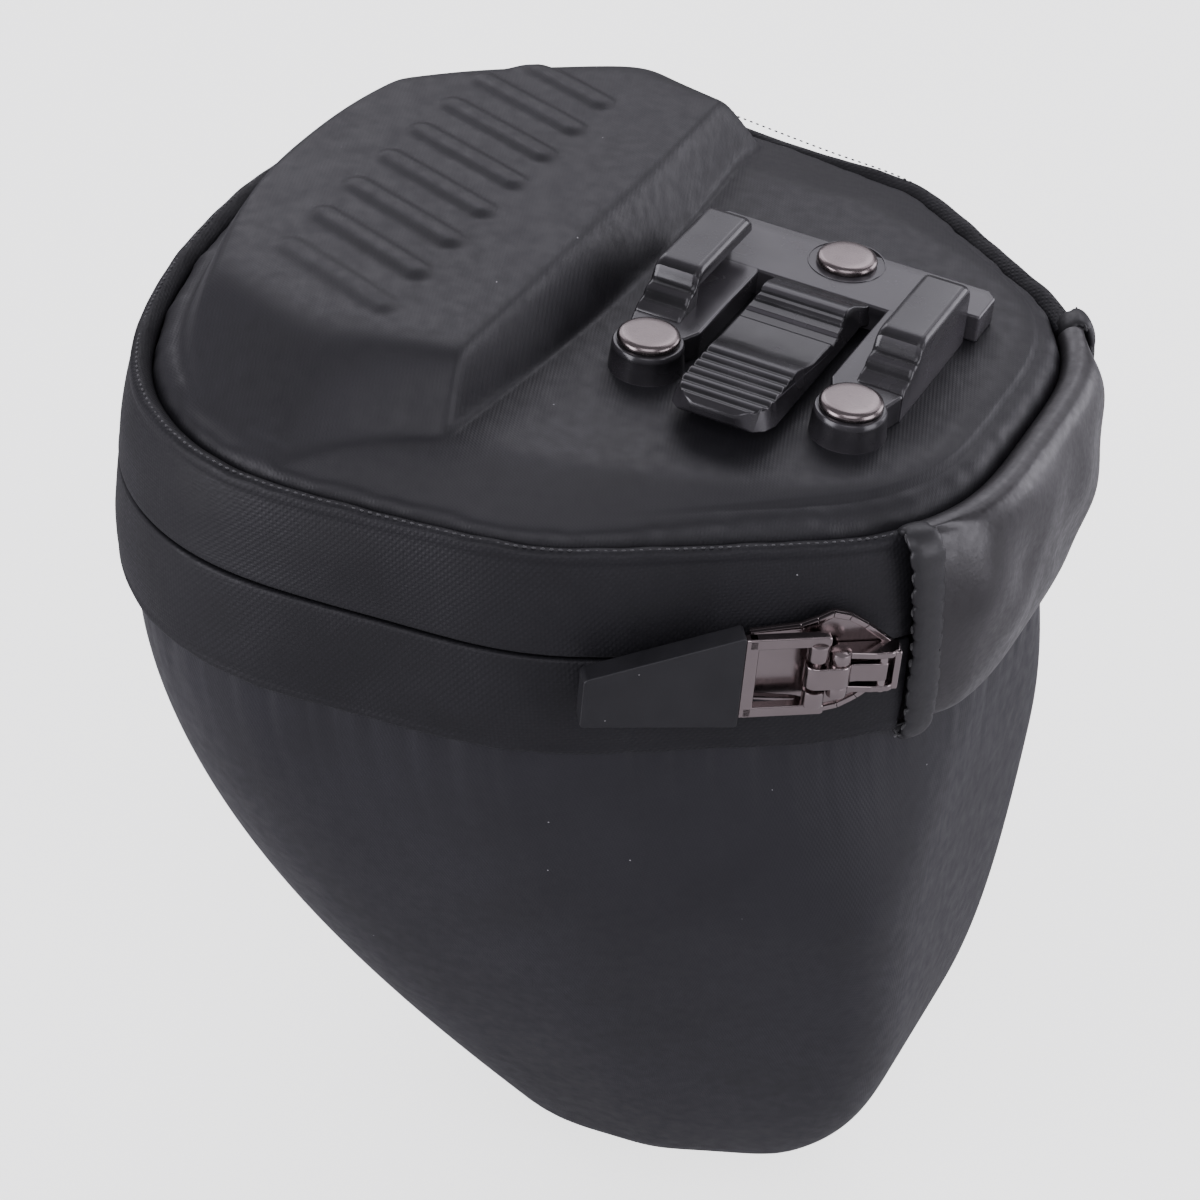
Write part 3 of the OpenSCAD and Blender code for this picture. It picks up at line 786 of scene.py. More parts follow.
def repeat_tree(name, build_unit):
    """A node tree that sets small units along a curve, each turned to follow it."""
    tree = bpy.data.node_groups.new(name, "GeometryNodeTree")
    face = tree.interface
    face.new_socket("Path", in_out="INPUT", socket_type="NodeSocketGeometry")
    for label, value in (("Pitch", 0.0025), ("Long", 0.0008), ("Wide", 0.0003), ("High", 0.0003)):
        face.new_socket(label, in_out="INPUT", socket_type="NodeSocketFloat").default_value = value
    face.new_socket("Finish", in_out="INPUT", socket_type="NodeSocketMaterial")
    face.new_socket("Units", in_out="OUTPUT", socket_type="NodeSocketGeometry")
    w = Wiring(tree, tree.nodes.new("NodeGroupInput"))
    take = w.inlet.outputs
    to_curve = w.node("GeometryNodeMeshToCurve", {"Mesh": take["Path"]})
    spaced = w.node("GeometryNodeResampleCurve", {"Curve": to_curve.outputs[0], "Length": take["Pitch"]},
                    mode="LENGTH")
    follow = w.node("FunctionNodeAlignRotationToVector",
                    {"Vector": w.node("GeometryNodeInputTangent").outputs[0]}, axis="X")
    level = w.node("FunctionNodeAlignRotationToVector", {"Rotation": follow.outputs[0], "Vector": (0, 0, 1)},
                   axis="Z", pivot_axis="X")
    size = w.node("ShaderNodeCombineXYZ", {0: take["Long"], 1: take["Wide"], 2: take["High"]}).outputs[0]
    set_on = w.node("GeometryNodeInstanceOnPoints", {"Points": spaced.outputs[0], "Instance": build_unit(w),
                                                     "Rotation": level.outputs[0], "Scale": size})
    real = w.node("GeometryNodeRealizeInstances", {0: set_on.outputs[0]})
    smooth = w.node("GeometryNodeSetShadeSmooth", {0: real.outputs[0]})
    painted = w.node("GeometryNodeSetMaterial", {"Geometry": smooth.outputs[0], "Material": take["Finish"]})
    out = tree.nodes.new("NodeGroupOutput")
    w.feed(out.inputs["Units"], painted.outputs[0])
    return tree


def bead_unit(w):
    return w.node("GeometryNodeMeshUVSphere", {"Segments": 8, "Rings": 6, "Radius": 1.0}).outputs["Mesh"]


def tooth_unit(w):
    """One turn of the coil: a low torus."""
    ring = w.node("GeometryNodeCurvePrimitiveCircle", {"Resolution": 10, "Radius": 0.78}, mode="RADIUS")
    wire = w.node("GeometryNodeCurvePrimitiveCircle", {"Resolution": 5, "Radius": 0.22}, mode="RADIUS")
    loop = w.node("GeometryNodeCurveToMesh", {"Curve": ring.outputs[0],
                                              "Profile Curve": wire.outputs[0]}).outputs[0]
    return w.node("GeometryNodeTransform", {"Geometry": loop,
                                            "Rotation": (0, math.radians(90), 0)}).outputs[0]


STITCH_TREE = repeat_tree("stitches_along", bead_unit)
COIL_TREE = repeat_tree("coil_along", tooth_unit)


def repeated(name, tree, points, material, pitch, long, wide, high):
    """Units along a line of points in millimetres, as one plain mesh."""
    mesh = bpy.data.meshes.new(name + "_line")
    mesh.from_pydata([tuple(np.array(p, float) * MM) for p in points],
                     [(i, i + 1) for i in range(len(points) - 1)], [])
    line = placed(name, mesh)
    made = line.modifiers.new("repeat", "NODES")
    made.node_group = tree
    ids = {s.name: s.identifier for s in tree.interface.items_tree
           if s.item_type == "SOCKET" and s.in_out == "INPUT"}
    for label, value in (("Pitch", pitch * MM), ("Long", long * MM), ("Wide", wide * MM), ("High", high * MM),
                         ("Finish", material)):
        made[ids[label]] = value
    return freeze(line)


def joined(name, pieces):
    """Several plain pieces as one mesh, keeping each one's finish."""
    bm = bmesh.new()
    materials = []
    for piece in pieces:
        slots = []
        for m in piece.data.materials:
            if m not in materials:
                materials.append(m)
            slots.append(materials.index(m))
        start = len(bm.faces)
        bm.from_mesh(piece.data)
        bm.faces.ensure_lookup_table()
        for face in bm.faces[start:]:
            face.material_index = slots[face.material_index] if slots else 0
        bpy.data.objects.remove(piece)
    mesh = bpy.data.meshes.new(name)
    bm.to_mesh(mesh)
    bm.free()
    piece = placed(name, mesh)
    for m in materials:
        mesh.materials.append(m)
    return piece


# ---------------------------------------------------------------- the moulded lid

def low_of(heights, softness):
    """The lowest of several heights, with its creases rounded."""
    stack = np.stack(heights)
    least = stack.min(0)
    return least - softness * np.log(np.exp(-(stack - least) / softness).sum(0))


def high_of(a, b, softness):
    return -low_of([-a, -b], softness)


def inset_from_rim(x, y):
    """How far each point lies inside the rim line."""
    best = np.full(x.shape, 1e9)
    for _, px, py, a in RIM[::2]:
        best = np.minimum(best, (px - x) * math.cos(a) + (py - y) * math.sin(a))
    return best


LID_FOOT_Z, BLOCK_TOP_Z = -12.5, 5.1
BAR_HEIGHT, BAR_HALF_WIDTH, BAR_FALL = 0.75, 2.9, 2.2
RAISED_BARS = [((-64.5, -30.0 + 9.4 * k), (-46.5, -36.0 + 9.4 * k)) for k in range(8)]


def raised_pattern(x, y):
    """Plain raised bars across the top of the block."""
    nearest = np.full(x.shape, 1e9)
    for a, b in RAISED_BARS:
        ax, ay, dx, dy = a[0], a[1], b[0] - a[0], b[1] - a[1]
        share = np.clip(((x - ax) * dx + (y - ay) * dy) / (dx * dx + dy * dy), 0, 1)
        nearest = np.minimum(nearest, np.hypot(x - ax - share * dx, y - ay - share * dy))
    share = np.clip((BAR_HALF_WIDTH - nearest) / BAR_FALL, 0, 1)
    return BAR_HEIGHT * smooth_step(share)


def lid_height(x, y, inset):
    """Height of the lid's outside: a flat deck, an apron down to the rim, and the block across the back."""
    side = np.abs(y) - 0.045 * np.clip(y, 0, None)
    forward = np.clip((x + 24) / 46, 0, 1)
    apron_width = 15.5 - 9.0 * smooth_step(forward)
    deck = low_of([np.full_like(x, DECK_Z), DECK_Z + (inset - apron_width) * (0.2 + 0.16 * forward)], 0.18)
    lean = np.clip((x + 49) / 22, 0, 1)
    top = 5.2 - 0.0006 * np.clip(-y, 0, None) ** 2 - 0.012 * np.clip(-x - 50, 0, 40)
    walls = [top,
             BLOCK_TOP_Z - (x + 31.4 + 0.0007 * y * y - 0.03 * np.clip(y, 0, None)) * (1.72 + 0.0006 * y * y),
             BLOCK_TOP_Z - (0.57 + 0.7 * lean) * (0.181 * x + 0.983 * side - 33.4),
             BLOCK_TOP_Z - 0.76 * (-0.357 * x + 0.934 * side - 60.0),
             BLOCK_TOP_Z - 1.4 * (-0.932 * x + 0.362 * side - 79.4),
             BLOCK_TOP_Z - 0.95 * (-0.602 * x + 0.798 * y - 64.6),
             BLOCK_TOP_Z - 1.1 * (-0.759 * x + 0.651 * y - 71.2),
             BLOCK_TOP_Z - 1.7 * (-x - 78.4)]
    block = low_of(walls, 0.9)
    whole = high_of(deck, block, 0.3)
    whole = whole + raised_pattern(x, y) * np.clip((block - 3.6) / 1.2, 0, 1)
    tuck = np.clip(inset / 4.2, 0, 1)
    puckers = 0.35 * wander(np.arctan2(y, x + 30) * 60, 5, 7.0) * np.clip(1.2 - inset / 3.5, 0, 1)
    edge = -12.2 + 6.6 * np.sqrt(1 - (1 - tuck) ** 2) + 2.4 * np.clip(inset - 4.2, 0, None) + puckers
    return low_of([whole, edge], 0.25)


def lid_sheet(name, material, drop_top, drop_under, edge_top, edge_under, around, inward):
    """A closed sheet under the lid's outside: its top is drop_top below it and its underside drop_under."""
    s = np.linspace(0, RIM_LENGTH, around, endpoint=False)

    def surface(edge_grow, drop):
        ex, ey = rim_place(s, edge_grow)
        made = []
        for r in np.linspace(0, 1, inward)[1:]:
            x = LID_MIDDLE[0] + (ex - LID_MIDDLE[0]) * r
            y = LID_MIDDLE[1] + (ey - LID_MIDDLE[1]) * r
            made.append(np.column_stack([x, y, lid_height(x, y, inset_from_rim(x, y)) - drop]))
        return made
    foot = [np.column_stack([*rim_place(s, edge), np.full(around, LID_FOOT_Z)]) for edge in (edge_top,
                                                                                             edge_under)]
    rings = surface(edge_top, drop_top) + foot + surface(edge_under, drop_under)[::-1]
    run = [[(a, k * 0.6) for a in np.append(s, RIM_LENGTH)] for k in range(len(rings))]
    return closed_loft(name, rings, material, np.array(run), poles=True, smooth=75)


def make_lid():
    fine = 1.0
    skin = lid_sheet("lid_skin", SKIN, 0.0, 2.85, -0.1, -2.95, int(460 * fine), int(118 * fine))
    worn(skin, "lid", "moulded_skin", "lid_shell")
    lining = lid_sheet("lid_lining_cloth", LINING, 2.9, 3.7, -3.0, -3.75, 200, 40)
    worn(lining, "lid", "lining_fabric", "lid_lining")


# ---------------------------------------------------------------- the moulded lower shell

def evenly_round(build_up, around):
    """around points of the outline and their normals, spaced evenly along each half."""
    line = whole_outline(build_up)
    s = np.linspace(0, line[-1, 0], around, endpoint=False)
    return [np.interp(s, line[:, 0], line[:, k]) for k in (1, 2, 3)]


SOLE_ROUND, MOUTH_GROW, LIP_RISE, CORNER_BUILD_UP = 10, 2.5, 4, 0.34
SOLE_BACK_X, SOLE_FRONT_X, SOLE_HALF_WIDTH = -21.9, 12.7, 22
SOLE_RINGS = (0.15, 0.4, 0.7, 0.92)


def shell_ring(z, inset, around, creases=0.0):
    depth = max(0.0, (BAND_BOTTOM_Z - z) / (BAND_BOTTOM_Z - BAG_BOTTOM_Z))
    up = z - BAG_BOTTOM_Z
    turn = SOLE_ROUND - math.sqrt(max(0.0,
                                      SOLE_ROUND ** 2 - (SOLE_ROUND - up) ** 2)) if up < SOLE_ROUND else 0.0
    into = turn + inset
    mouth_back = BACK_X - BACK_R - MOUTH_GROW
    mouth_front = NOSE[0] + NOSE[2] + MOUTH_GROW
    mouth_half = CORNER[1] + CORNER[2] + MOUTH_GROW
    back = mouth_back + (SOLE_BACK_X - mouth_back) * depth ** 1.97 - 0.6 * math.sin(math.pi * depth) + into
    front = mouth_front + (SOLE_FRONT_X - mouth_front) * depth ** 7 + 0.7 * math.sin(math.pi * depth) - into
    half = mouth_half + (SOLE_HALF_WIDTH - mouth_half) * depth ** 1.55 - into
    build_up = smooth_step(min(1.0, depth / CORNER_BUILD_UP))
    x, y, a = evenly_round(build_up, around)
    x, y = x + MOUTH_GROW * np.cos(a), y + MOUTH_GROW * np.sin(a)
    shown_front = max(x)
    x = back + (x - mouth_back) * (front - back) / (shown_front - mouth_back)
    y = y * half / mouth_half
    if creases:
        s = np.linspace(0, 1, around, endpoint=False) * RIM_LENGTH
        fade = math.exp(-max(0.0, BAND_BOTTOM_Z - z) / 9.0)
        dent = creases * fade * (0.5 * wander(s, 11, 9.0) - 0.5 + 0.45 * np.minimum(wander(s, 12, 3.1), 0.2))
        x, y = x + dent * np.cos(a), y + dent * np.sin(a)
    return np.column_stack([x, y, np.full(around, z)])


def shell_sheet(name, material, outer_inset, inner_inset, around, tall, creases):
    def wall(inset, rows, crease):
        floor_z = BAG_BOTTOM_Z + inset
        turn = [floor_z + SOLE_ROUND * (1 - math.cos(math.radians(a))) for a in np.linspace(0, 90, 14)]
        side = np.linspace(floor_z + SOLE_ROUND, BAND_BOTTOM_Z, rows)
        heights = turn[:-1] + list(side) + [BAND_BOTTOM_Z + LIP_RISE / 2, BAND_BOTTOM_Z + LIP_RISE]
        rings = [shell_ring(z, inset, around, crease) for z in heights]
        middle = rings[0].mean(0)
        sole = [middle + (rings[0] - middle) * k for k in SOLE_RINGS]
        for ring in sole:
            ring[:, 2] = floor_z
        return sole + rings
    outer, inner = wall(outer_inset, tall, creases), wall(inner_inset, 40, 0.0)
    rings = outer + inner[::-1]
    lengths = np.append(np.linspace(0, RIM_LENGTH, around, endpoint=False), RIM_LENGTH)
    places = [[(s, ring[0, 2]) for s in lengths] for ring in rings]
    return closed_loft(name, rings, material, np.array(places), poles=True, smooth=70)


def make_lower_shell():
    skin = shell_sheet("shell_skin", SHELL_SKIN, 0.0, 2.9, 520, 110, 0.5)
    worn(skin, "shell", "moulded_skin", "lower_shell")
    lining = shell_sheet("shell_lining_cloth", LINING, 2.98, 3.8, 160, 40, 0.0)
    worn(lining, "shell", "lining_fabric", "lower_lining")


# ---------------------------------------------------------------- the zip band

UPPER_TAPE = [(-0.35, -8.6), (0.9, -7.6), (1.7, -7.35), (2.5, -7.7), (2.75, -8.6), (2.7, -9.2), (3.0, -10.2),
              (3.6, -13), (4.05, -16.5), (4.3, -20.5), (4.5, -22.4), (4.35, -23.12), (3.2, -23.12),
              (2.75, -22.3),
              (2.6, -19), (2.3, -15), (1.1, -11.2), (-0.35, -9.8)]
LOWER_TAPE = [(2.75, -24.4), (3.2, -23.68), (4.35, -23.68), (4.55, -24.5), (4.75, -28), (4.95, -32),
              (4.85, -35.8),
              (4.6, -37.3), (4.75, -38.1), (4.5, -38.9), (3.7, -39.2), (2.85, -38.9), (2.8, -36.5),
              (3.1, -31), (2.9, -26)]
TAPE_END_ANGLE = 34.2
TAPE_START = rim_length_at(TAPE_END_ANGLE)
TAPE_END = rim_length_at(360 - TAPE_END_ANGLE)


def zip_rise(s):
    """The zip's line climbs a little along the near side, where nothing pulls it straight."""
    return 1.35 * np.exp(-((s - rim_length_at(272)) / 38.0) ** 2)


def slack(s, points):
    """Lets a tape ripple a little between its two edges, and lifts its zip edge with the zip's line."""
    points[:, 1] += zip_rise(s) * np.clip(1 - np.abs(points[:, 1] + 23.4) / 11.0, 0, 1)
    points[:, 1] -= 1.5 * math.exp(-((s - rim_length_at(92)) / 34.0) ** 4) * np.clip((points[:, 1] + 14) / 5,
                                                                                     0, 1)
    middle_z, edge_z, seed = (-15.5, -7.6, 21) if points[0, 1] > -22 else (-31, -39, 22)
    middle = np.clip(1 - np.abs((points[:, 1] - middle_z) / 8), 0, 1)
    points[:, 0] += middle * 0.28 * wander(s, seed, 34.0)
    rim_edge = np.clip(1 - np.abs(points[:, 1] - edge_z) / 1.5, 0, 1)
    points[:, 1] += rim_edge * 0.14 * wander(s, seed + 5, 11.0)
    return points


def lift_with_zip(s, points):
    points[:, 1] += zip_rise(s)
    return points


def rim_line_points(grow, z, start, end, step=0.5, sway=None):
    s = np.arange(start, end, step)
    x, y = rim_place(s, np.full(len(s), grow) if sway is None else grow + sway(s))
    return np.column_stack([x, y, np.full(len(s), z)])


def make_zip_band():
    """Both tapes, both halves of the coil and the stitches along the lid's edge."""
    for name, section, node, body in (("upper_tape", UPPER_TAPE, "upper_zip_tape", "lid"),
                                      ("lower_tape", LOWER_TAPE, "lower_zip_tape", "shell")):
        tape = band_strip(name, section, TAPE_START, TAPE_END, TAPE, shape=slack, step=1.1)
        worn(tape, body, "zip_tape", node)
    for name, top, node, body in (("upper_coil", -21.5, "upper_zip_coil", "lid"),
                                  ("lower_coil", -23.65, "lower_zip_coil", "shell")):
        start, end = TAPE_START + 4, rim_length_at(314.5)
        strip = [(1.3, top - 0.3), (2.35, top - 0.3), (2.35, top - 1.5), (1.3, top - 1.5)]
        core = band_strip(name + "_core", strip, start, end, COIL, step=2.0, times=1, shape=lift_with_zip)
        line = rim_line_points(1.85, top - 0.9, start, end)
        line[:, 2] += zip_rise(np.arange(start, end, 0.5))
        teeth = repeated(name + "_teeth", COIL_TREE, line, COIL, 1.25, 0.62, 0.72, 0.88)
        coil = joined(name, [core, teeth])
        worn(coil, body, "zip_coil", node)
    top_seam = repeated("lid_edge_stitches", STITCH_TREE, rim_line_points(1.75, -7.42, TAPE_START + 1,
                                                                          TAPE_END - 1),
                        EDGE_THREAD, 1.15, 0.3, 0.16, 0.12)
    worn(top_seam, "lid", "zip_tape")


# ---------------------------------------------------------------- the soft hinge panel and its bindings

PANEL = [(-0.35, -8.4), (0.9, -7.0), (2.8, -6.7), (4.6, -7.6), (6.1, -10.4), (7.0, -14), (7.5, -18.5),
         (7.6, -23.4),
         (7.3, -29), (6.5, -34), (5.5, -38.2), (4.9, -39.6), (4.0, -40.1), (3.1, -39.3), (3.3, -36),
         (4.6, -31),
         (5.4, -25), (5.5, -18), (4.6, -13), (2.8, -10.6), (-0.35, -10.2)]


def panel_shape(s, points):
    """Full in the middle and drawn in at the bindings, with a few shallow folds."""
    across = s if s < RIM_LENGTH / 2 else s - RIM_LENGTH
    reach = rim_length_at(31)
    share = np.clip((reach - abs(across)) / 9.0, 0, 1)
    full = smooth_step(share)
    outward = np.clip((points[:, 0] - 3.0) / 2.0, 0, 1)
    points[:, 0] -= (1 - full) * 2.0 * outward
    middle = np.clip(1 - ((points[:, 1] + 22) / 15) ** 2, 0, 1)
    fold = 0.34 * math.sin(across * 0.42 + 0.6) * np.sin((points[:, 1] + 9) * 0.24) \
        + 0.3 * np.sin(across * 0.21 + points[:, 1] * 0.33)
    dent = -0.75 * np.exp(-(((across + 11.5) / 3.4) ** 2 + ((points[:, 1] + 21) / 4.2) ** 2)) \
        - 0.5 * np.exp(-(((across - 4) / 4.0) ** 2 + ((points[:, 1] + 27) / 4.0) ** 2))
    points[:, 0] += outward * middle * (fold + dent) * (0.35 + 0.65 * full)
    return points


STITCH_PITCH = 2.9
BINDING_PATH = [(0.7, -10.4), (0.9, -8.4), (2.2, -7.0), (4.0, -6.9), (5.3, -8.4), (5.9, -11.5), (6.0, -16),
                (6.0, -23),
                (5.95, -31), (5.7, -37), (5.1, -39.8), (4.2, -40.7), (3.2, -40.3)]


def binding_middle(z, side):
    """The binding's middle, as a length round the rim: it leans towards the panel on its way down."""
    angle = np.interp(-z, (7, 23, 40), (34.8, 31.6, 29.4))
    return rim_length_at(angle if side > 0 else 360 - angle)


def hugged(grow, side):
    """The far binding lies flatter on the band than the near one."""
    return np.where(grow > 2.5, 2.5 + (grow - 2.5) * 0.72, grow) if side > 0 else grow


def binding_piece(name, side):
    path = np.array(BINDING_PATH, float)
    run = np.concatenate([[0], np.cumsum(np.hypot(*np.diff(path, axis=0).T))])
    fine = np.linspace(0, run[-1], 150)
    grow, z = smooth_path(run, path[:, 0], fine), smooth_path(run, path[:, 1], fine)
    grow = hugged(grow, side)
    tangent = np.column_stack([np.gradient(grow), np.gradient(z)])
    tangent /= np.hypot(*tangent.T)[:, None]
    rings, places = [], []
    angles = np.linspace(0, 2 * math.pi, 28, endpoint=False)
    for i, (g, h) in enumerate(zip(grow, z)):
        swell = 1 + 0.1 * float(wander(np.array([fine[i]]), 41 + side, 7.0)[0])
        nick = math.exp(-(((fine[i] + 0.3 * side) % STITCH_PITCH - STITCH_PITCH / 2) / 0.42) ** 2)
        half = 2.15 * (1 + 0.06 * float(wander(np.array([fine[i]]), 44 + side, 12.0)[0]) - 0.13 * nick)
        across = half * np.sign(np.cos(angles)) * np.abs(np.cos(angles)) ** 0.8
        thick = 0.78 * swell * np.sign(np.sin(angles)) * np.abs(np.sin(angles)) ** 0.9
        normal = (-tangent[i, 1], tangent[i, 0])
        x, y = rim_place(binding_middle(h, side) + across, g + thick * normal[0])
        rings.append(np.column_stack([x, y, h + thick * normal[1]]))
        places.append([(a, fine[i]) for a in np.append(across, across[0])])
    return closed_loft(name, rings, BINDING_HIDE, np.array(places), poles=True, smooth=60)


def smooth_path(run, values, fine):
    """A smooth curve through a few values (Catmull-Rom)."""
    out = np.empty_like(fine)
    padded = np.concatenate([[2 * values[0] - values[1]], values, [2 * values[-1] - values[-2]]])
    for n, f in enumerate(fine):
        i = min(max(int(np.searchsorted(run, f, side="right")) - 1, 0), len(run) - 2)
        t = (f - run[i]) / (run[i + 1] - run[i])
        a, b, c, d = padded[i:i + 4]
        bend, twist = 2 * a - 5 * b + 4 * c - d, 3 * b - a - 3 * c + d
        out[n] = 0.5 * (2 * b + (c - a) * t + bend * t * t + twist * t ** 3)
    return out


def binding_seam(name, side, edge):
    """Thread along one edge of a binding, sunk into its seam."""
    points = []
    path = np.array(BINDING_PATH, float)
    run = np.concatenate([[0], np.cumsum(np.hypot(*np.diff(path, axis=0).T))])
    fine = np.linspace(run[3], run[-2], 120)
    grow, z = smooth_path(run, path[:, 0], fine), smooth_path(run, path[:, 1], fine)
    for g, h in zip(hugged(grow, side), z):
        x, y = rim_place(np.array([binding_middle(h, side) + edge * 2.05]), g - 0.1)
        points.append((float(x[0]), float(y[0]), h))
    return repeated(name, STITCH_TREE, points, THREAD, STITCH_PITCH, 0.7, 0.26, 0.2)


def make_hinge():
    reach = rim_length_at(31)
    panel = band_strip("hinge_panel", PANEL, RIM_LENGTH - reach, RIM_LENGTH + reach, HIDE, shape=panel_shape,
                       step=0.55, times=3)
    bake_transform(panel)
    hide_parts("hinge_panel_upper", "hinge_panel_lower")
    for label, side in (("near", -1), ("far", 1)):
        binding = binding_piece(label + "_binding", side)
        seams = joined(label + "_binding_stitches",
                       [binding_seam(label + "_seam_%d" % k, side, k) for k in (-1, 1)])
        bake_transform(binding)
        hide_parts(label + "_binding_upper", label + "_binding_lower")
        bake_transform(seams)


# ---------------------------------------------------------------- the buckle

# The guides: (along, top height) from the open far end to the two steps at the closed near end
GUIDE_TOP = [(11.5, 4.2), (11.3, 4.9), (10.7, 5.35), (9.8, 5.5), (2, 5.5), (-4.4, 5.5), (-5.3, 5.38),
             (-5.9, 5.1), (-6.4, 4.6),
             (-6.75, 3.9), (-7.0, 3.2), (-7.35, 2.75), (-7.9, 2.6), (-8.5, 2.5), (-8.95, 2.2), (-9.25, 1.7),
             (-9.6, 1.3),
             (-10.2, 1.12), (-10.9, 0.95), (-11.5, 0.55), (-11.9, 0.05), (-12.1, -0.6)]


def guide_rings(side):
    """Cross-sections of a guide: an inverted L over the channel, and a full block past the channel's end."""
    rings = []
    for y, top in GUIDE_TOP:
        ends = [(y, 2.9, 15.9)] if y > -6.75 else [(y, -1.4, 13.25)]
        if y == -6.4:
            ends.append((y - 0.02, -1.4, 13.25))
        for place, under, wall in ends:
            round_off = min(1.05, 0.45 + 0.12 * max(top, 0))
            outer, inner = 20.1, 13.2
            turn = [(math.sin(math.radians(a)), math.cos(math.radians(a))) for a in (90, 68, 45, 22, 0)]
            crown = [(outer - round_off * (1 - u), top - round_off * (1 - v)) for u, v in turn]
            crown += [(inner + round_off * (1 - u), top - round_off * (1 - v)) for u, v in turn[::-1]]
            under = min(under, top - round_off - 0.1)
            lip = [(inner, under + 0.25), (inner + 0.25, under), (wall - 0.001, under), (wall, -4.2)]
            rings.append([(side * x, place, z) for x, z in [(outer, -4.2)] + crown + lip])
    return rings


def make_buckle():
    base = HardPart("buckle_body", NYLON)
    plate = [(-18.9, 7), (18.9, 7), (18.9, 12.4), (21.7, 12.4), (21.7, 18.8), (20.4, 20.2), (-20.4, 20.2),
             (-21.7, 18.8),
             (-21.7, 12.4), (-18.9, 12.4)]
    base.prism(plate, -4.25, -0.02, edge=0.42)
    boss = [(0, -0.05), (4.5, -0.05), (4.8, -0.16), (4.98, -0.45), (5.05, -1.0), (5.3, -4.1), (5.3, -4.25),
            (0, -4.25)]
    for side in (-1, 1):
        arm = [(9.8, -12.5), (11.0, -15.2), (15, -18), (19.2, -15.6), (20.0, -12.5), (20.0, 9), (9.8, 9)]
        arm = [(side * x, y) for x, y in arm]
        base.prism(arm if side > 0 else arm[::-1], -4.25, -0.05, edge=0.4)
        base.turned(boss, lambda p, side=side: (p[0] + side * 15, p[1] - 18, p[2]), sides=56)
        base.lofted(guide_rings(side))
    # a low ring round the middle rivet
    ring = [(5.3, -0.3), (5.45, 0.1), (5.6, 0.1), (5.75, -0.3), (5.3, -0.3)]
    base.turned(ring, lambda p: (p[0], p[1] + 16, p[2]), sides=48)
    worn(base.done(), "lid", "buckle_plastic", "buckle_base")
    make_tongue()
    for node, x, y in (("back_arm_rivet", -15, -18), ("front_arm_rivet", 15, -18), ("plate_rivet", 0, 16)):
        rivet = HardPart(node + "_cap", CAP_NICKEL)
        crown = [(0, 1.3), (2.6, 1.28), (3.55, 1.22), (3.98, 1.1), (4.22, 0.9), (4.38, 0.55), (4.38, 0.25),
                 (4.25, 0.02), (2.0, 0.02),
                 (2.0, -10.0), (2.8, -10.05), (2.6, -10.7), (1.2, -10.85), (0, -10.85)]
        rivet.turned(crown, lambda p, x=x, y=y: (p[0] + x, p[1] + y, p[2]), sides=56)
        cap = rivet.done(smooth=50)
        worn(cap, "lid", "rivet_metal", node)


def make_tongue():
    """Ramp, crest, two stepped ridges, a sunk slot, the neck and the grooved thumb pad."""
    grooves = []
    for k in range(6):
        y = -17.2 - 1.95 * k
        high = 1.75 - 0.05 * k
        grooves += [(y, high), (y - 0.5, high - 0.06), (y - 0.9, high - 0.34), (y - 1.25, high - 0.38),
                    (y - 1.65, high - 0.16)]
    side = [(8.3, -0.3), (7.0, -0.06), (6.2, 0.15), (4.4, 1.05), (2.7, 1.85), (1.3, 2.2), (0.2, 2.15),
            (-0.15, 1.85), (-0.3, 1.5),
            (-1.3, 1.42), (-1.6, 1.1), (-1.75, 0.75), (-3.5, 0.62), (-3.8, 0.2), (-5.7, 0.1), (-6.1, 0.45),
            (-12.2, 0.6), (-14.6, 1.2),
            (-16.4, 1.7)]
    side += grooves + [(-29.3, 1.15), (-29.75, 0.7), (-29.9, 0.1), (-29.75, -0.8), (-28.8, -1.75),
                       (-26.5, -1.9), (3.8, -1.9), (6.4, -3.2), (8.3, -3.4), (9.6, -2.9), (9.9, -1.9),
                       (9.4, -0.8)]
    slab = HardPart("tongue_slab", NYLON).prism(side, -7.6, 7.6, along_x, edge=0)
    plan = [(-7.55, 9.95), (7.55, 9.95), (7.55, -25.4), (6.9, -27.6), (5.0, -29.3), (3.4, -29.85),
            (-3.4, -29.85), (-5.0, -29.3), (-6.9, -27.6), (-7.55, -25.4)]
    cutter = HardPart("tongue_plan", NYLON).prism(plan, -8, 8, edge=0).done()
    cutter.modifiers.clear()
    tongue = slab.done()
    tongue.modifiers.clear()
    cut = tongue.modifiers.new("plan", "BOOLEAN")
    cut.operation, cut.object, cut.solver = "INTERSECT", cutter, "EXACT"
    tongue = freeze(tongue, "release_tongue_body")
    bpy.data.objects.remove(cutter)
    for v in tongue.data.vertices:
        v.co.x *= 1 - 0.15 * min(1.0, max(0.0, (v.co.z / MM + 0.8) / 2.2))
    rounding = tongue.modifiers.new("rounding", "BEVEL")
    rounding.width, rounding.segments = 0.26 * MM, 3
    rounding.limit_method, rounding.angle_limit = "ANGLE", math.radians(38)
    tongue = freeze(tongue, "release_tongue_body")
    tongue.data.shade_smooth()
    tongue.data.set_sharp_from_angle(angle=math.radians(40))
    even = tongue.modifiers.new("even_shading", "WEIGHTED_NORMAL")
    even.keep_sharp = True
    worn(tongue, "tongue", "buckle_plastic", "release_tongue")


# ---------------------------------------------------------------- the zip slider and its pull

def upright_by_zip(t, out):
    """A form turned about an upright axis, beside the band."""
    return lambda p: by_zip((p[0] + t, p[2], p[1] + out))


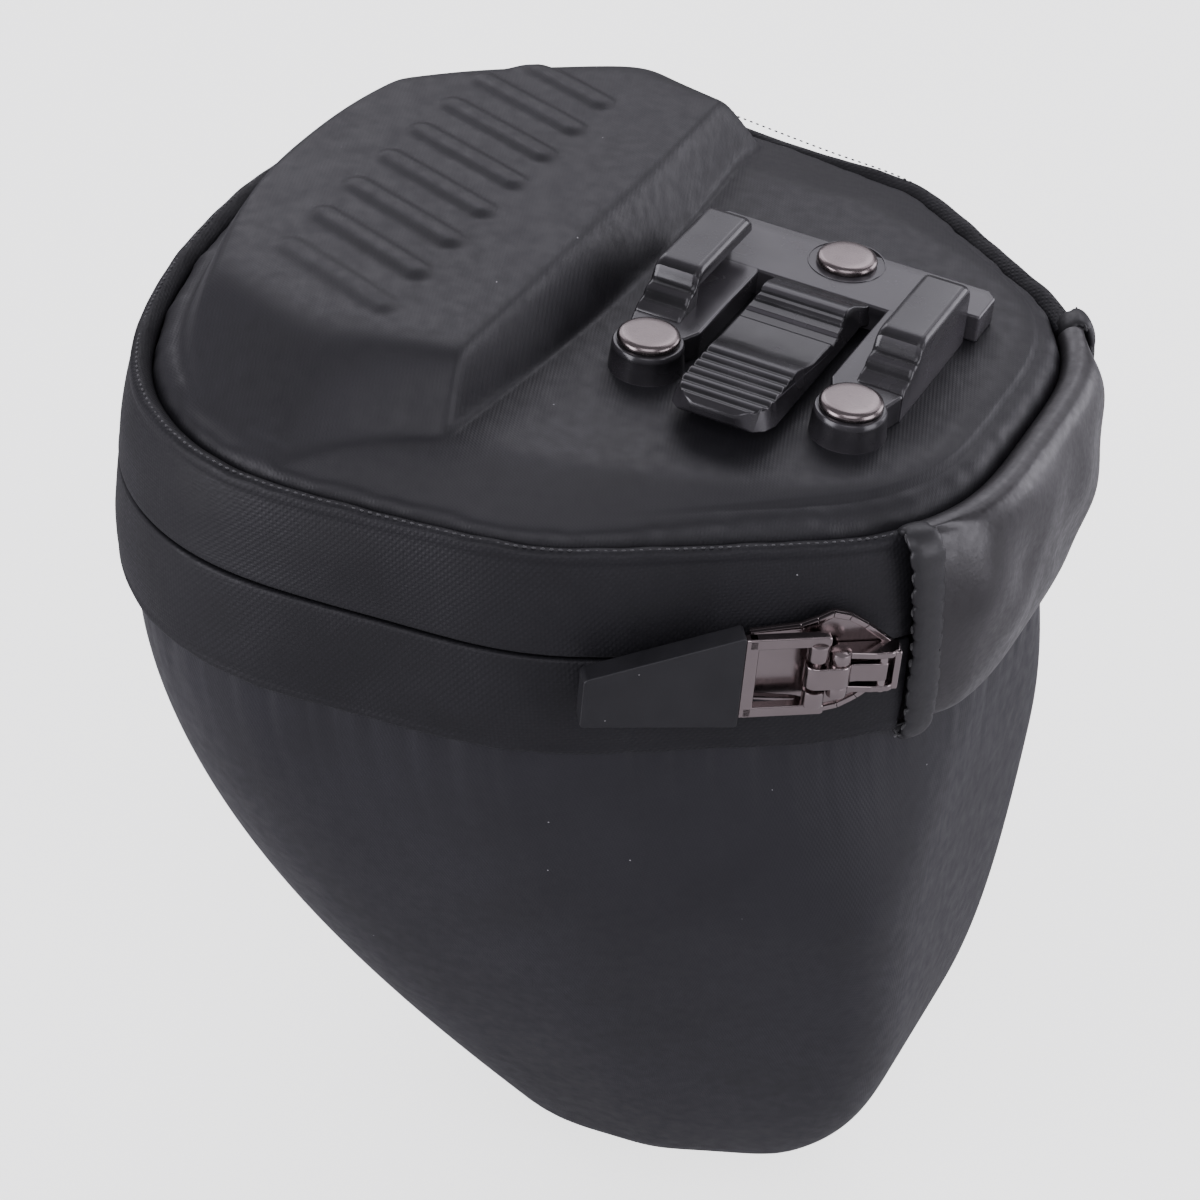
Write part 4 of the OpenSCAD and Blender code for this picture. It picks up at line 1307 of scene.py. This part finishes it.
def make_slider():
    body = HardPart("slider_shield", ZIP_NICKEL)
    shield = [(-10.9, -5.4), (-4.2, -6.3), (-2.2, -7.0), (0, -8.2), (2.2, -7.7), (4.7, -6.2), (7.2, -4.0),
              (9.2, -2.3), (9.2, 2.3),
              (7.4, 3.9), (4.9, 6.0), (2.4, 7.6), (0, 8.2), (-2.0, 7.1), (-4.2, 6.2), (-10.9, 5.5)]
    body.prism(shield, 1.25, 2.2, by_zip, edge=0.3)
    middle = np.array([-0.6, 0.0])
    inner = [tuple(middle + (np.array(p) - middle) * 0.9) for p in shield]
    for i in range(len(shield)):
        j = (i + 1) % len(shield)
        body.prism([shield[i], shield[j], inner[j], inner[i]], 1.9, 2.62, by_zip, edge=0.16, steps=2)
    body.prism([(-7, -3.2), (0, -4), (4, -2.5), (4, 2.5), (0, 4), (-7, 3.2)], -4.6, -3.6, by_zip, edge=0.25)
    body.prism([(2, -0.25), (4, -0.25), (4, 0.25), (2, 0.25)], -3.7, 1.4, by_zip, edge=0.05, steps=1)
    worn(body.done(), "slider", "zip_metal", "slider_body")
    bridge = HardPart("slider_loop", ZIP_NICKEL)
    for s in (-1, 1):
        bridge.prism([(0.9, 2.3), (0.9, 3.6), (2.2, 4.9), (5.6, 5.25), (7.9, 5.15), (8.9, 4.5), (9.2, 3.4),
                      (9.2, 2.3)],
                     s * 2.75 - 0.5, s * 2.75 + 0.5, side_by_zip, edge=0.22)
    bridge.prism([(8.3, -3.1), (9.2, -3.1), (9.2, 3.1), (8.3, 3.1)], 2.4, 4.9, by_zip, edge=0.24)
    worn(bridge.done(), "slider", "zip_metal", "slider_bridge")
    link = HardPart("pull_link_strap", ZIP_NICKEL)
    strap = [(0.9, 4.1), (3.5, 4.2), (6.9, 3.7), (7.6, 3.9), (7.8, 4.5), (7.4, 5.1), (6.4, 5.2), (3.5, 5.0),
             (0.9, 5.2)]
    link.prism(strap, -1.45, 1.45, side_by_zip, edge=0.2)
    wrap = arc_points(-2.1, 4.6, 1.66, 90, 270, 12) + arc_points(0.95, 4.6, 1.66, -90, 90, 12)
    link.prism(wrap, -1.75, 1.75, side_by_zip, edge=0.22)
    for s in (-1, 1):
        low, high = sorted((s * 1.6, s * 3.7))
        knuckle = [(0, high), (1.0, high), (1.36, high - 0.2), (1.46, high - 0.55), (1.46, low + 0.55),
                   (1.36, low + 0.2),
                   (1.0, low), (0, low)]
        link.turned(knuckle, upright_by_zip(0.98, 4.6), sides=28)
    worn(link.done(), "link", "zip_metal", "pull_link")
    pull = HardPart("pull_frame_body", ZIP_NICKEL)
    pull.prism([(-12.1, -6.4), (-10.2, -6.4), (-10.2, 6.4), (-12.1, 6.4)], 3.85, 5.4, by_zip, edge=0.28)
    for s in (-1, 1):
        low, high = sorted((s * 4.75, s * 6.4))
        pull.prism([(-11.6, low), (-0.9, low), (-0.6, low + 0.3), (-0.6, high - 0.3), (-0.9, high),
                    (-11.6, high)], 3.85, 5.4, by_zip, edge=0.26)
        low, high = sorted((s * 2.36, s * 5.2))
        barrel = [(0, high), (1.1, high), (1.42, high - 0.18), (1.5, high - 0.5), (1.5, low + 0.5),
                  (1.42, low + 0.18), (1.1, low), (0, low)]
        pull.turned(barrel, upright_by_zip(-2.1, 4.6), sides=28)
    pull.prism([(-20.9, -2.9), (-11.8, -2.9), (-11.8, 2.9), (-20.9, 2.9)], 4.15, 5.05, by_zip, edge=0.15)
    worn(pull.done(), "pull", "zip_metal", "pull_frame")
    tab = HardPart("pull_tab_grip", RUBBER)
    face = [(-32.8, -6.1), (-12.5, -7.3), (-12.2, -7.0), (-12.2, 7.1), (-12.5, 7.35), (-32.7, 1.75),
            (-33.1, 1.35), (-33.15, -5.8)]
    tab.prism(face, 3.0, 6.2, by_zip, edge=0.42, steps=3)
    worn(tab.done(), "pull", "pull_rubber", "pull_tab")


def dress_small_parts():
    """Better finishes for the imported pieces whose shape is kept."""
    for node, finish_of in (("slider_lock_pawl", ZIP_NICKEL), ("link_pin", ZIP_NICKEL),
                            ("pull_pin", ZIP_NICKEL),
                            ("backing_plate", BACKING), ("rivet_washers", CAP_NICKEL),
                            ("upper_zip_stop", ZIP_NICKEL), ("lower_zip_stop", ZIP_NICKEL)):
        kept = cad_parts[node]
        if not kept.material_slots:
            kept.data.materials.append(finish_of)
        for holder in kept.material_slots:
            holder.material = finish_of


set_camera()
light_studio()
lay_floor()
make_lid()
make_lower_shell()
make_zip_band()
make_hinge()
make_buckle()
make_slider()
dress_small_parts()
